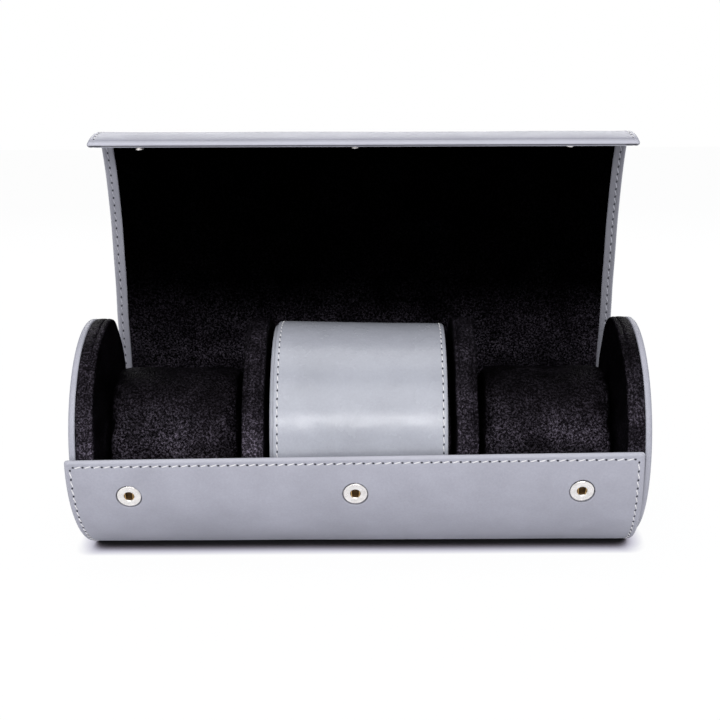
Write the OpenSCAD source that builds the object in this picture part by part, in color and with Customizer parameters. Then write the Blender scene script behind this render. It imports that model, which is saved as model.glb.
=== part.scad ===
// Travel roll for three watches, standing open: a wrapped leather panel with a
// press-stud front, round padded ends, two padded dividers and three cushions.
// Millimetres. X runs along the roll, -Y is the front and +Z is up. The origin
// is on the floor under the middle of the roll.

/* [Part] */
// Sub-part to show

/* [Panel] */
// Width of the wrapped panel along the roll
panel_w = 268; // [255:1:285]
// Outer radius of the padded discs
disc_r = 53.6; // [52:0.2:56]
// Gap between the disc rims and the lining
disc_gap = 0.4; // [0.3:0.1:0.6]
// Thickness of the inner lining
lining_t = 0.8; // [0.6:0.1:1.0]
// Thickness of the stiffener board
board_t = 1.2; // [1.0:0.1:1.6]
// Thickness of the outer leather
leather_t = 1.2; // [1.0:0.1:1.6]
// Width of the leather turned over the inner face
hem_w = 6; // [4.5:0.5:8]
// How far the underside is pressed flat
flat_drop = 0.8; // [0.5:0.1:1.2]
// Half of the gap left at each fold
fold_gap = 0.15; // [0.1:0.05:0.25]

/* [Front flap] */
// Fold of the front flap, degrees below the horizontal
front_fold_deg = 52; // [48:1:56]
// Free edge of the front flap, degrees below the horizontal
front_edge_deg = 1; // [0.5:0.5:3]

/* [Lid] */
// Fold of the lid at the back, degrees below the horizontal
heel_deg = 70; // [68:1:72]
// Gap between the floor and the open lid's heel
heel_clear = 0.3; // [0.2:0.1:0.6]
// How far the upper folds stand off the panel's round with the lid closed
fold_rise = 0.8; // [0.6:0.1:1.4]
// Extra curve radius of the strip above the heel turn
turn_ease = 8; // [6:1:12]
// Extra curve radius of the upper strips
upper_ease = 26; // [24:1:30]
// Lean of strip 2 with the lid open, degrees up from the back
lean_2 = 54.5; // [52:0.5:60]
// Lean of strip 3 with the lid open, degrees up from the back
lean_3 = 94; // [90:0.5:97]
// Lean of strip 4 with the lid open, degrees up from the back
lean_4 = 101; // [97:0.5:104]
// Lean of strip 5 with the lid open, degrees up from the back
lean_5 = 98; // [93:0.5:100]
// Lean of strip 6 with the lid open, degrees up from the back
lean_6 = 102.5; // [99:0.5:105]
// Lean of strip 7 with the lid open, degrees up from the back
lean_7 = 115; // [112:0.5:118]

/* [Closing flap] */
// Depth of the closing flap from crease to edge
closing_len = 30.5; // [29:0.5:32]
// Gap between the closing flap and the front flap when shut
closing_gap = 0.5; // [0.4:0.1:0.8]
// Crease of the closing flap when shut, degrees above the horizontal
crease_deg = 1; // [0:0.5:3]
// Lean of the closing flap with the lid open, degrees up from the back
closing_lean = 187; // [184:1:190]

/* [Press studs] */
// Distance between neighbouring press studs
stud_pitch = 105.5; // [98:0.5:110]
// Sockets, degrees below the horizontal
socket_deg = 19; // [17:0.5:21]
// Diameter of a socket
socket_d = 11.8; // [10.5:0.1:12.2]
// Gap round a socket in the leather and board
socket_gap = 0.3; // [0.2:0.05:0.4]
// How far a socket's face lies below the leather
socket_recess = 0.6; // [0.4:0.05:0.7]
// Diameter of the hole that a stud enters
socket_hole_d = 4.9; // [4.7:0.1:5.2]
// Diameter of the hollow behind the hole
socket_hollow_d = 6.4; // [6.0:0.1:7.0]
// Thickness of a socket's front wall
socket_wall = 0.4; // [0.3:0.05:0.5]
// Width of the spring ring in the hollow
spring_w = 0.85; // [0.8:0.05:0.95]
// Height of the spring ring
spring_h = 0.5; // [0.4:0.05:0.55]
// Thickness of the brass back plate
plate_t = 0.3; // [0.2:0.05:0.35]
// Height of the crimped peak on the back plate
peak_h = 0.3; // [0.2:0.05:0.35]
// Diameter of a stud's post
post_d = 4.0; // [3.6:0.1:4.2]
// Gap between a stud's tip and the peak in the socket when shut
tip_gap = 0.05; // [0.05:0.05:0.3]
// Diameter of a stud's flange
flange_d = 8.8; // [8.0:0.1:9.2]
// Thickness of a stud's flange
flange_t = 0.5; // [0.4:0.05:0.5]
// Diameter of a stud's shank
shank_d = 2.4; // [2.0:0.1:2.8]
// Diameter of the rivet plate behind a stud
rivet_d = 6.8; // [6.0:0.1:7.2]
// Thickness of the rivet plate
rivet_t = 0.3; // [0.2:0.05:0.35]

/* [Discs] */
// Thickness of the suede pad on each end
cap_pad_t = 8.3; // [7.5:0.1:9]
// Thickness of the board in each end
cap_board_t = 1.4; // [1.0:0.1:1.8]
// How far each end's pad stops short of the panel's edge
cap_inset = 2.2; // [2:0.1:2.4]
// Thickness of the leather round each end's rim
cap_rim_t = 1.2; // [1.0:0.1:1.6]
// Height of the leather's rounded edge beyond the board
cap_edge_h = 1.6; // [1.4:0.1:2]
// Extra height of the domed leather at the centre
cap_dome = 1.2; // [0.6:0.1:2]
// Distance of each divider's middle from the centre
divider_x = 49.7; // [48:0.1:52]
// Thickness of a divider
divider_t = 10.5; // [9.5:0.1:11.5]
// Thickness of the board in a divider
divider_board_t = 3; // [2:0.1:4]
// Margin of suede beyond a divider's board
divider_margin = 1.8; // [1.5:0.1:2.5]
// Rounding of the padded rims
rim_round = 2.4; // [1.5:0.1:3]

/* [Side cushions] */
// Gap between a side cushion and the discs
side_gap = 3; // [2:0.5:5]
// Room for a strap in front of and behind a side cushion
strap_room = 21.6; // [20:0.2:26]
// Room for a watch between a side cushion and the top of the discs
watch_room = 22.5; // [20:0.5:28]
// How far a side cushion's ends are drawn in, as a share of its size
side_draw = 0.26; // [0.15:0.01:0.32]
// Squareness of the side cushion's outline
side_square = 2.3; // [2:0.1:2.5]
// Thickness of a side cushion's cover
side_cover_t = 1.2; // [0.8:0.1:2]

/* [Centre cushion] */
// How far the wrapped cushion stays below the disc rims
wrap_drop = 1.1; // [1:0.1:3]
// Gap between the padded core and each divider
core_gap = 1.65; // [1:0.05:3]
// Rounding of the core's ends
core_round = 4; // [2:0.5:6]
// Thickness of each leather layer on the core
wrap_t = 1.2; // [0.8:0.1:1.2]
// How far the under wrap's edges lie inside the core's ends
under_inset = 2.05; // [1.5:0.05:4]
// Shift of the under wrap to the left
under_shift = 1.45; // [0.5:0.05:1.8]
// How far the top wrap's edges lie inside the core's ends
wrap_inset = 2.05; // [1.5:0.05:4]
// Gap between the ends of the top wrap at the back
wrap_slit = 1.5; // [1:0.1:3]
// Place of that gap, degrees below the horizontal at the back
wrap_slit_deg = 60; // [40:5:80]

/* [Hidden] */
$fn = 96;
soft_gap = 0.3;
layer_gap = 0.1;
spill = 1;
reach = 200;
panel_t = lining_t + board_t + leather_t;
board_top = lining_t + board_t;
panel_in_r = disc_r + disc_gap;
panel_out_r = panel_in_r + panel_t;
axis_z = panel_out_r - flat_drop;
floor_in_z = -(panel_in_r - flat_drop);
closing_r = panel_out_r + closing_gap;
leather_colour = [0.64, 0.64, 0.69];
suede_colour = [0.06, 0.06, 0.065];
board_colour = [0.55, 0.46, 0.34];
foam_colour = [0.82, 0.80, 0.72];
nickel_colour = [0.86, 0.86, 0.85];
brass_colour = [0.70, 0.55, 0.30];
stations = [-1, -0.97, -0.9, -0.77, -0.55, -0.2, 0.2, 0.55, 0.77, 0.9, 0.97, 1];
sides = 32;

// ---- Points round the roll, in its end view -------------------------------

// Point at a radius and an angle: 0 is the front, 90 the top, 180 the back
function on_ring(r, deg) = [-r * cos(deg), r * sin(deg)];

// Half of the angle that a chord spans on a circle
function half_angle(chord, r) = asin(chord / 2 / r);

// ---- The lid as seven strips and the closing flap as strip 7 ---------------
// Strips count from 0 at the heel; each turns about its first fold.

last = 7;
heel_at = 180 + heel_deg;
strip_deg = (heel_at - crease_deg) / last;

function fold_deg(i) = i < last ? heel_at - i * strip_deg
    : crease_deg - (i > last ? 2 * half_angle(closing_len, closing_r) : 0);
function fold_r(i) = i < 3 ? panel_in_r : i < last ? panel_in_r + fold_rise : closing_r;
function curve_r(i) = i < 2 ? panel_in_r
    : i == 2 ? panel_in_r + turn_ease
    : i < last ? panel_in_r + upper_ease : closing_r;

// Folds with the lid closed, and the straight width between two of them
function closed_at(i) = on_ring(fold_r(i), fold_deg(i));
function chord(i) = norm(closed_at(i + 1) - closed_at(i));
function rise(v) = atan2(v[1], v[0]) + (v[1] < 0 ? 360 : 0);
function closed_lean(i) = rise(closed_at(i + 1) - closed_at(i));
function strip_half(i) = half_angle(chord(i), curve_r(i));

// The heel strip leans so that its lowest point just clears the floor
heel_lift = heel_clear - axis_z - closed_at(0)[1] + panel_out_r
    - panel_in_r * cos(strip_half(0));
lean_1 = asin(heel_lift / (chord(0) / 2));
leans = [lean_1, lean_2, lean_3, lean_4, lean_5, lean_6, lean_7, closing_lean];

// Folds with the lid open
function open_at(i) = i == 0 ? closed_at(0)
    : open_at(i - 1) + chord(i - 1) * [cos(leans[i - 1]), sin(leans[i - 1])];

// Slope of the end faces that meet at a fold: half of the smaller bend
function bend(i) = min(leans[i] - leans[i - 1], closed_lean(i) - closed_lean(i - 1));
function start_slope(i) = i > 0 ? bend(i) / 2
    : min(leans[0], closed_lean(0)) - (90 - heel_deg);
function end_slope(i) = i < last ? bend(i + 1) / 2 : strip_half(last);

// Ring between two depths of a strip, measured outward from its inner face
module strip_face(i, from, to, trim, end_trim) {
    middle = [chord(i) / 2, curve_r(i) * cos(strip_half(i))];
    a = start_slope(i);
    b = end_slope(i);
    far = 12;
    near = 4;
    start_at = trim * [cos(a), -sin(a)];
    end_at = [chord(i), 0] - end_trim * [cos(b), sin(b)];
    intersection() {
        difference() {
            translate(middle) circle(r = curve_r(i) + to);
            translate(middle) circle(r = curve_r(i) + from);
        }
        polygon([
            start_at + near * [sin(a), cos(a)],
            start_at - far * [sin(a), cos(a)],
            end_at + far * [sin(b), -cos(b)],
            end_at - near * [sin(b), -cos(b)]
        ]);
    }
}

// Puts a strip drawn at its first fold into the open lid
module in_strip(i) {
    at = open_at(i);
    translate([0, at[0], axis_z + at[1]])
        rotate([leans[i], 0, 0])
            children();
}

// Stretches an end view along the roll
module across(width) {
    rotate([90, 0, 90])
        linear_extrude(height = width, center = true)
            children();
}

// Leather of a strip: a full slab with hollows for its board and lining
module strip_leather(i, end_trim, edge, hem) {
    difference() {
        across(panel_w) strip_face(i, 0, panel_t, fold_gap, end_trim);
        across(panel_w - 2 * leather_t) strip_face(i, lining_t, board_top, -spill, edge);
        across(panel_w - 2 * hem_w) strip_face(i, -spill, lining_t + layer_gap, -spill, hem);
    }
}

module lid_leather(i) {
    color(leather_colour)
        in_strip(i)
            strip_leather(i, fold_gap, -spill, -spill);
}

module lid_board(i) {
    color(board_colour)
        in_strip(i)
            across(panel_w - 2 * leather_t)
                strip_face(i, lining_t, board_top, fold_gap, fold_gap);
}

module lid_lining(i) {
    color(suede_colour)
        in_strip(i)
            across(panel_w - 2 * hem_w)
                strip_face(i, 0, lining_t, fold_gap, fold_gap);
}

module lid_leather_1() lid_leather(0);
module lid_leather_2() lid_leather(1);
module lid_leather_3() lid_leather(2);
module lid_leather_4() lid_leather(3);
module lid_leather_5() lid_leather(4);
module lid_leather_6() lid_leather(5);
module lid_leather_7() lid_leather(6);
module lid_board_1() lid_board(0);
module lid_board_2() lid_board(1);
module lid_board_3() lid_board(2);
module lid_board_4() lid_board(3);
module lid_board_5() lid_board(4);
module lid_board_6() lid_board(5);
module lid_board_7() lid_board(6);
module lid_lining_1() lid_lining(0);
module lid_lining_2() lid_lining(1);
module lid_lining_3() lid_lining(2);
module lid_lining_4() lid_lining(3);
module lid_lining_5() lid_lining(4);
module lid_lining_6() lid_lining(5);
module lid_lining_7() lid_lining(6);

// ---- Closing flap and its studs --------------------------------------------

// Stands on the closing flap's curve axis at each stud, +Z pointing outward
module at_studs() {
    turn = socket_deg + crease_deg - strip_half(last);
    in_strip(last)
        for (side = [-1 : 1])
            translate([side * stud_pitch, chord(last) / 2, closing_r * cos(strip_half(last))])
                rotate([180 + turn, 0, 0])
                    children();
}

module closing_leather() {
    color(leather_colour)
        in_strip(last)
            strip_leather(last, 0, leather_t, hem_w);
}

module closing_board() {
    rivet_z = closing_r + board_top - 2 * layer_gap - rivet_t;
    color(board_colour)
        difference() {
            in_strip(last)
                across(panel_w - 2 * leather_t)
                    strip_face(last, lining_t, board_top, fold_gap, leather_t);
            at_studs() {
                translate([0, 0, closing_r - spill])
                    cylinder(h = 2 * panel_t, d = shank_d + layer_gap);
                translate([0, 0, rivet_z])
                    cylinder(h = panel_t, d = rivet_d + 2 * layer_gap);
            }
        }
}

module closing_lining() {
    color(suede_colour)
        difference() {
            in_strip(last)
                across(panel_w - 2 * hem_w)
                    strip_face(last, 0, lining_t, fold_gap, hem_w);
            at_studs()
                translate([0, 0, closing_r - spill])
                    cylinder(h = panel_t, d = flange_d + 2 * layer_gap);
        }
}

// Post with a narrowed neck, its flange and the shank up to the rivet plate
module snap_studs() {
    post_r = post_d / 2;
    face = closing_r + layer_gap / 2;
    shank_end = closing_r + board_top - 2 * layer_gap - rivet_t;
    tip = socket_back + plate_t + peak_h + tip_gap;
    color(nickel_colour)
        at_studs()
            rotate_extrude()
                polygon([
                    [0, tip],
                    [post_r * 0.6, tip],
                    [post_r * 0.9, tip + 0.25],
                    [post_r, tip + 0.6],
                    [post_r, tip + 0.9],
                    [post_r * 0.84, tip + 1.4],
                    [post_r * 0.84, face],
                    [flange_d / 2 - 0.2, face],
                    [flange_d / 2, face + 0.2],
                    [flange_d / 2, face + flange_t],
                    [shank_d / 2, face + flange_t],
                    [shank_d / 2, shank_end],
                    [0, shank_end]
                ]);
}

module stud_rivets() {
    color(nickel_colour)
        at_studs()
            translate([0, 0, closing_r + board_top - 2 * layer_gap - rivet_t])
                cylinder(h = rivet_t, d = rivet_d);
}

// ---- Base under the roll ---------------------------------------------------

// Round end view with the pressed-flat underside
module flat_circle(r) {
    intersection() {
        circle(r = r);
        translate([-reach, flat_drop - r]) square([2 * reach, 2 * reach]);
    }
}

// Ring of the base between two depths, from the heel fold to the front fold
module base_face(from, to, trim) {
    cut = asin(trim / panel_in_r);
    intersection() {
        difference() {
            flat_circle(panel_in_r + to);
            flat_circle(panel_in_r + from);
        }
        polygon([
            [0, 0],
            on_ring(reach, heel_at + cut),
            on_ring(reach, 360 - front_fold_deg - cut)
        ]);
    }
}

module base_leather() {
    color(leather_colour)
        translate([0, 0, axis_z])
            difference() {
                across(panel_w) base_face(0, panel_t, fold_gap);
                across(panel_w - 2 * leather_t) base_face(lining_t, board_top, -spill);
                across(panel_w - 2 * hem_w) base_face(-spill, lining_t + layer_gap, -spill);
            }
}

module base_board() {
    color(board_colour)
        translate([0, 0, axis_z])
            across(panel_w - 2 * leather_t)
                base_face(lining_t, board_top, fold_gap);
}

module base_lining() {
    color(suede_colour)
        translate([0, 0, axis_z])
            across(panel_w - 2 * hem_w)
                base_face(0, lining_t, fold_gap);
}

// ---- Front flap and its sockets --------------------------------------------

// Ring of the front flap between two depths, trimmed at the fold and the edge
module front_face(from, to, trim, edge_trim) {
    intersection() {
        difference() {
            circle(r = panel_in_r + to);
            circle(r = panel_in_r + from);
        }
        polygon([
            [0, 0],
            on_ring(reach, -front_fold_deg + asin(trim / panel_in_r)),
            on_ring(reach, -front_edge_deg - asin(edge_trim / panel_in_r))
        ]);
    }
}

// Stands on the roll's axis at each socket, +Z pointing outward
module at_sockets() {
    for (side = [-1 : 1])
        translate([side * stud_pitch, 0, axis_z])
            rotate([90 + socket_deg, 0, 0])
                children();
}

socket_back = panel_in_r + lining_t + layer_gap / 2;
socket_front = panel_out_r - socket_recess;

module socket_holes() {
    at_sockets()
        translate([0, 0, socket_back - spill])
            cylinder(h = 2 * panel_t, d = socket_d + 2 * socket_gap);
}

module front_leather() {
    color(leather_colour)
        difference() {
            translate([0, 0, axis_z])
                difference() {
                    across(panel_w) front_face(0, panel_t, fold_gap, 0);
                    across(panel_w - 2 * leather_t)
                        front_face(lining_t, board_top, -spill, leather_t);
                    across(panel_w - 2 * hem_w)
                        front_face(-spill, lining_t + layer_gap, -spill, hem_w);
                }
            socket_holes();
        }
}

module front_board() {
    color(board_colour)
        difference() {
            translate([0, 0, axis_z])
                across(panel_w - 2 * leather_t)
                    front_face(lining_t, board_top, fold_gap, leather_t);
            socket_holes();
        }
}

module front_lining() {
    color(suede_colour)
        translate([0, 0, axis_z])
            across(panel_w - 2 * hem_w)
                front_face(0, lining_t, fold_gap, hem_w);
}

// Turned metal ring with a bevelled rim and a fine groove round its face
module snap_sockets() {
    outer = socket_d / 2;
    hole = socket_hole_d / 2;
    hollow = socket_hollow_d / 2;
    groove = outer - 1.3;
    color(nickel_colour)
        at_sockets()
            rotate_extrude()
                polygon([
                    [hollow, socket_back + plate_t],
                    [outer, socket_back + plate_t],
                    [outer, socket_front - 0.35],
                    [outer - 0.1, socket_front - 0.12],
                    [outer - 0.35, socket_front],
                    [groove + 0.2, socket_front],
                    [groove, socket_front - 0.12],
                    [groove - 0.2, socket_front],
                    [hole + 0.15, socket_front],
                    [hole, socket_front - 0.15],
                    [hole, socket_front - socket_wall],
                    [hollow, socket_front - socket_wall]
                ]);
}

module snap_springs() {
    outer = socket_hollow_d / 2;
    color(brass_colour)
        at_sockets()
            translate([0, 0, socket_back + plate_t])
                rotate_extrude()
                    polygon([
                        [outer - spring_w + 0.15, 0],
                        [outer, 0],
                        [outer, spring_h],
                        [outer - spring_w + 0.15, spring_h],
                        [outer - spring_w, spring_h - 0.15],
                        [outer - spring_w, 0.15]
                    ]);
}

module snap_backs() {
    color(brass_colour)
        at_sockets() {
            translate([0, 0, socket_back])
                cylinder(h = plate_t, d = socket_d - 2 * socket_gap);
            translate([0, 0, socket_back + plate_t / 2])
                cylinder(h = plate_t / 2 + peak_h, r1 = 1.6, r2 = 0.7);
        }
}

// ---- Round ends and dividers -----------------------------------------------

cap_x = panel_w / 2 - cap_inset;

// Turns a half profile, drawn as radius and distance, about the roll's axis
module turned(x) {
    translate([x, 0, axis_z])
        rotate([0, 90, 0])
            rotate_extrude()
                children();
}

// Cuts the pressed-flat underside off a disc
module flat_under() {
    intersection() {
        children();
        translate([-reach, -reach, axis_z + floor_in_z])
            cube([2 * reach, 2 * reach, reach]);
    }
}

// Leather over an end: a rim round the board, a rounded edge and a low dome
module cap_leather() {
    board_r = disc_r - cap_rim_t;
    edge_x = cap_board_t + cap_edge_h;
    corner = cap_edge_h - 0.2;
    dome_r = disc_r - corner;
    flat_under()
        turned(cap_x)
            polygon(concat(
                [[0, cap_board_t], [board_r, cap_board_t], [board_r, 0], [disc_r, 0]],
                [for (a = [0 : 22.5 : 90])
                    [dome_r + corner * cos(a), edge_x - corner + corner * sin(a)]],
                [for (k = [1 : 5])
                    let (r = dome_r * (1 - k / 5))
                    [r, edge_x + cap_dome * (1 - pow(r / dome_r, 2))]]
            ));
}

module cap_board() {
    translate([cap_x, 0, axis_z])
        rotate([0, 90, 0])
            cylinder(h = cap_board_t, r = disc_r - cap_rim_t);
}

module cap_suede() {
    flat_under()
        turned(cap_x - cap_pad_t) {
            square([disc_r - rim_round, cap_pad_t]);
            translate([0, rim_round]) square([disc_r, cap_pad_t - rim_round]);
            translate([disc_r - rim_round, rim_round]) circle(r = rim_round);
        }
}

module right_cap_leather() color(leather_colour) cap_leather();
module right_cap_board() color(board_colour) cap_board();
module right_cap_suede() color(suede_colour) cap_suede();
module left_cap_leather() color(leather_colour) mirror([1, 0, 0]) cap_leather();
module left_cap_board() color(board_colour) mirror([1, 0, 0]) cap_board();
module left_cap_suede() color(suede_colour) mirror([1, 0, 0]) cap_suede();

module divider_board() {
    translate([divider_x - divider_board_t / 2, 0, axis_z])
        rotate([0, 90, 0])
            cylinder(h = divider_board_t, r = disc_r - divider_margin);
}

// Padded disc with rounded rims, hollow where its board sits
module divider_suede() {
    difference() {
        flat_under()
            turned(divider_x) {
                translate([0, -divider_t / 2])
                    square([disc_r - rim_round, divider_t]);
                translate([0, rim_round - divider_t / 2])
                    square([disc_r, divider_t - 2 * rim_round]);
                for (side = [-1, 1])
                    translate([disc_r - rim_round, side * (divider_t / 2 - rim_round)])
                        circle(r = rim_round);
            }
        divider_board();
    }
}

module right_divider_board() color(board_colour) divider_board();
module right_divider_suede() color(suede_colour) divider_suede();
module left_divider_board() color(board_colour) mirror([1, 0, 0]) divider_board();
module left_divider_suede() color(suede_colour) mirror([1, 0, 0]) divider_suede();

// ---- Side cushions ---------------------------------------------------------

bay_start = divider_x + divider_t / 2 + side_gap;
bay_end = cap_x - cap_pad_t - side_gap;
side_half_w = (bay_end - bay_start) / 2;
side_mid = (bay_start + bay_end) / 2;
side_depth = 2 * (disc_r - strap_room);
side_height = disc_r - watch_room - floor_in_z - soft_gap;
side_z = axis_z + floor_in_z + soft_gap + side_height / 2;

// Size of the outline along the cushion: full in the middle, drawn in at the ends
function side_share(t) = 1 - side_draw * (1 - pow(1 - pow(abs(t), 3.2), 0.4));

// Point of a slightly squared oval
function bent(v, p) = sign(v) * pow(abs(v), p);
function oval(a, half_d, half_h) =
    [half_d * bent(cos(a), 2 / side_square), half_h * bent(sin(a), 2 / side_square)];

// Closed skin of a side cushion, a given distance inside its full size
module cushion_form(inset) {
    rings = len(stations);
    points = concat(
        [for (t = stations)
            for (k = [0 : sides - 1])
                let (p = side_share(t)
                    * oval(k * 360 / sides, side_depth / 2 - inset, side_height / 2 - inset))
                [t * (side_half_w - inset), p[0], p[1]]],
        [[inset - side_half_w, 0, 0], [side_half_w - inset, 0, 0]]
    );
    first = rings * sides;
    faces = concat(
        [for (r = [0 : rings - 2])
            for (k = [0 : sides - 1])
                let (n = (k + 1) % sides)
                [r * sides + k, (r + 1) * sides + k, (r + 1) * sides + n]],
        [for (r = [0 : rings - 2])
            for (k = [0 : sides - 1])
                let (n = (k + 1) % sides)
                [r * sides + k, (r + 1) * sides + n, r * sides + n]],
        [for (k = [0 : sides - 1])
            [first, k, (k + 1) % sides]],
        [for (k = [0 : sides - 1])
            let (end = (rings - 1) * sides)
            [first + 1, end + (k + 1) % sides, end + k]]
    );
    translate([side_mid, 0, side_z])
        polyhedron(points, faces);
}

module cushion_foam() {
    cushion_form(side_cover_t + layer_gap);
}

module cushion_cover() {
    difference() {
        cushion_form(0);
        cushion_form(side_cover_t);
    }
}

module right_cushion_foam() color(foam_colour) cushion_foam();
module right_cushion_cover() color(suede_colour) cushion_cover();
module left_cushion_foam() color(foam_colour) mirror([1, 0, 0]) cushion_foam();
module left_cushion_cover() color(suede_colour) mirror([1, 0, 0]) cushion_cover();

// ---- Centre cushion --------------------------------------------------------

core_w = 2 * (divider_x - divider_t / 2 - core_gap);
under_w = core_w - 2 * under_inset;
wrap_w = core_w - 2 * wrap_inset;

wrap_out_r = disc_r - wrap_drop;
core_r = wrap_out_r - 2 * wrap_t - layer_gap;
centre_drop = floor_in_z + soft_gap + wrap_out_r;

module on_centre(x) {
    translate([x, 0, centre_drop]) children();
}

// Leather tube round the core, a given distance from its axis
module leather_tube(r, width) {
    turned(0)
        translate([r, -width / 2])
            square([wrap_t, width]);
}

module centre_foam() {
    half = core_w / 2;
    color(suede_colour)
        on_centre(0)
            turned(0) {
                translate([0, -half]) square([core_r - core_round, core_w]);
                translate([0, core_round - half])
                    square([core_r, core_w - 2 * core_round]);
                for (side = [-1, 1])
                    translate([core_r - core_round, side * (half - core_round)])
                        circle(r = core_round);
            }
}

module centre_underlay() {
    color(leather_colour)
        on_centre(-under_shift)
            leather_tube(core_r, under_w);
}

module centre_wrap() {
    color(leather_colour)
        on_centre(0)
            difference() {
                leather_tube(core_r + wrap_t + layer_gap, wrap_w);
                translate([0, 0, axis_z])
                    rotate([-wrap_slit_deg, 0, 0])
                        translate([-reach / 2, core_r / 2, -wrap_slit / 2])
                            cube([reach, core_r, wrap_slit]);
            }
}

// ---- What is shown ---------------------------------------------------------

base_leather();
base_board();
base_lining();
left_cap_leather();
left_cap_board();
left_cap_suede();
right_cap_leather();
right_cap_board();
right_cap_suede();
left_divider_board();
left_divider_suede();
right_divider_board();
right_divider_suede();
front_leather();
front_board();
front_lining();
snap_sockets();
snap_springs();
snap_backs();
lid_leather_1();
lid_leather_2();
lid_leather_3();
lid_leather_4();
lid_leather_5();
lid_leather_6();
lid_leather_7();
lid_board_1();
lid_board_2();
lid_board_3();
lid_board_4();
lid_board_5();
lid_board_6();
lid_board_7();
lid_lining_1();
lid_lining_2();
lid_lining_3();
lid_lining_4();
lid_lining_5();
lid_lining_6();
lid_lining_7();
closing_leather();
closing_board();
closing_lining();
snap_studs();
stud_rivets();
left_cushion_foam();
left_cushion_cover();
right_cushion_foam();
right_cushion_cover();
centre_foam();
centre_underlay();
centre_wrap();
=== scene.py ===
"""Looks of a leather travel roll for watches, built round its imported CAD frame.

The roll stands open: a lined leather panel runs from the front flap, under the
padded ends and dividers, up the back as a lid and over into a closing flap with
press studs. Three cushions stand between the padded discs.

Sizes are in millimetres and angles in degrees where nothing else is said.
"""

import logging
import math
from dataclasses import dataclass, field
from enum import Enum
from typing import Callable, Sequence

import bpy
import numpy as np
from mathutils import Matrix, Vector


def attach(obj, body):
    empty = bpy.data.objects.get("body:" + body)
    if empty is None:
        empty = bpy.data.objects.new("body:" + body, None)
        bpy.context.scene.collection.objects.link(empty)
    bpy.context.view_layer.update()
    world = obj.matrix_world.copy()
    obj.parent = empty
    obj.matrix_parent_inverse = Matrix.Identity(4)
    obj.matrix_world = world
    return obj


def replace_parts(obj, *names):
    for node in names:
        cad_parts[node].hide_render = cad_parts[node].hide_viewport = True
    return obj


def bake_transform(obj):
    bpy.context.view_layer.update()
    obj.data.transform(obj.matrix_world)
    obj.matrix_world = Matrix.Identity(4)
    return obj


Colour = tuple[float, float, float]
Part = tuple[np.ndarray, list]
Piece = bpy.types.Object
Socket = bpy.types.NodeSocket

LOG = logging.getLogger("travel_roll")
MM = 0.001
WHITE = (1.0, 1.0, 1.0)
AXIS_Z = 56.4  # height of the roll's axis
FLOOR_IN_Z = -53.2  # inner face of the flat base, measured from the axis
DISC_STEPS = 160  # points round a padded disc
STRIPS = 7  # stiff strips of the lid between its folds
ROW_SLACK = 0.002  # how far a row may stray from a split and still belong to it

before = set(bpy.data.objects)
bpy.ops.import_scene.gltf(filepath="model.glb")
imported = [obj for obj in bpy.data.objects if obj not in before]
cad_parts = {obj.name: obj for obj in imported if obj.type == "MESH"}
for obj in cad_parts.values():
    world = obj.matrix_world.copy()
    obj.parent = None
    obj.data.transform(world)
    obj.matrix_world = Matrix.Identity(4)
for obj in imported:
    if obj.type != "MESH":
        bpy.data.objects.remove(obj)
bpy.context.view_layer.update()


class Side(Enum):
    """The two ends of the roll, as the sign of X."""

    LEFT = -1
    RIGHT = 1

    @property
    def word(self) -> str:
        """The side as it stands in node names."""
        return self.name.lower()


# ---- Materials --------------------------------------------------------------


def shade(colour: Sequence[float], share: float) -> tuple[float, ...]:
    """The same colour, darker or paler."""
    return tuple(share * c for c in colour)


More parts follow.
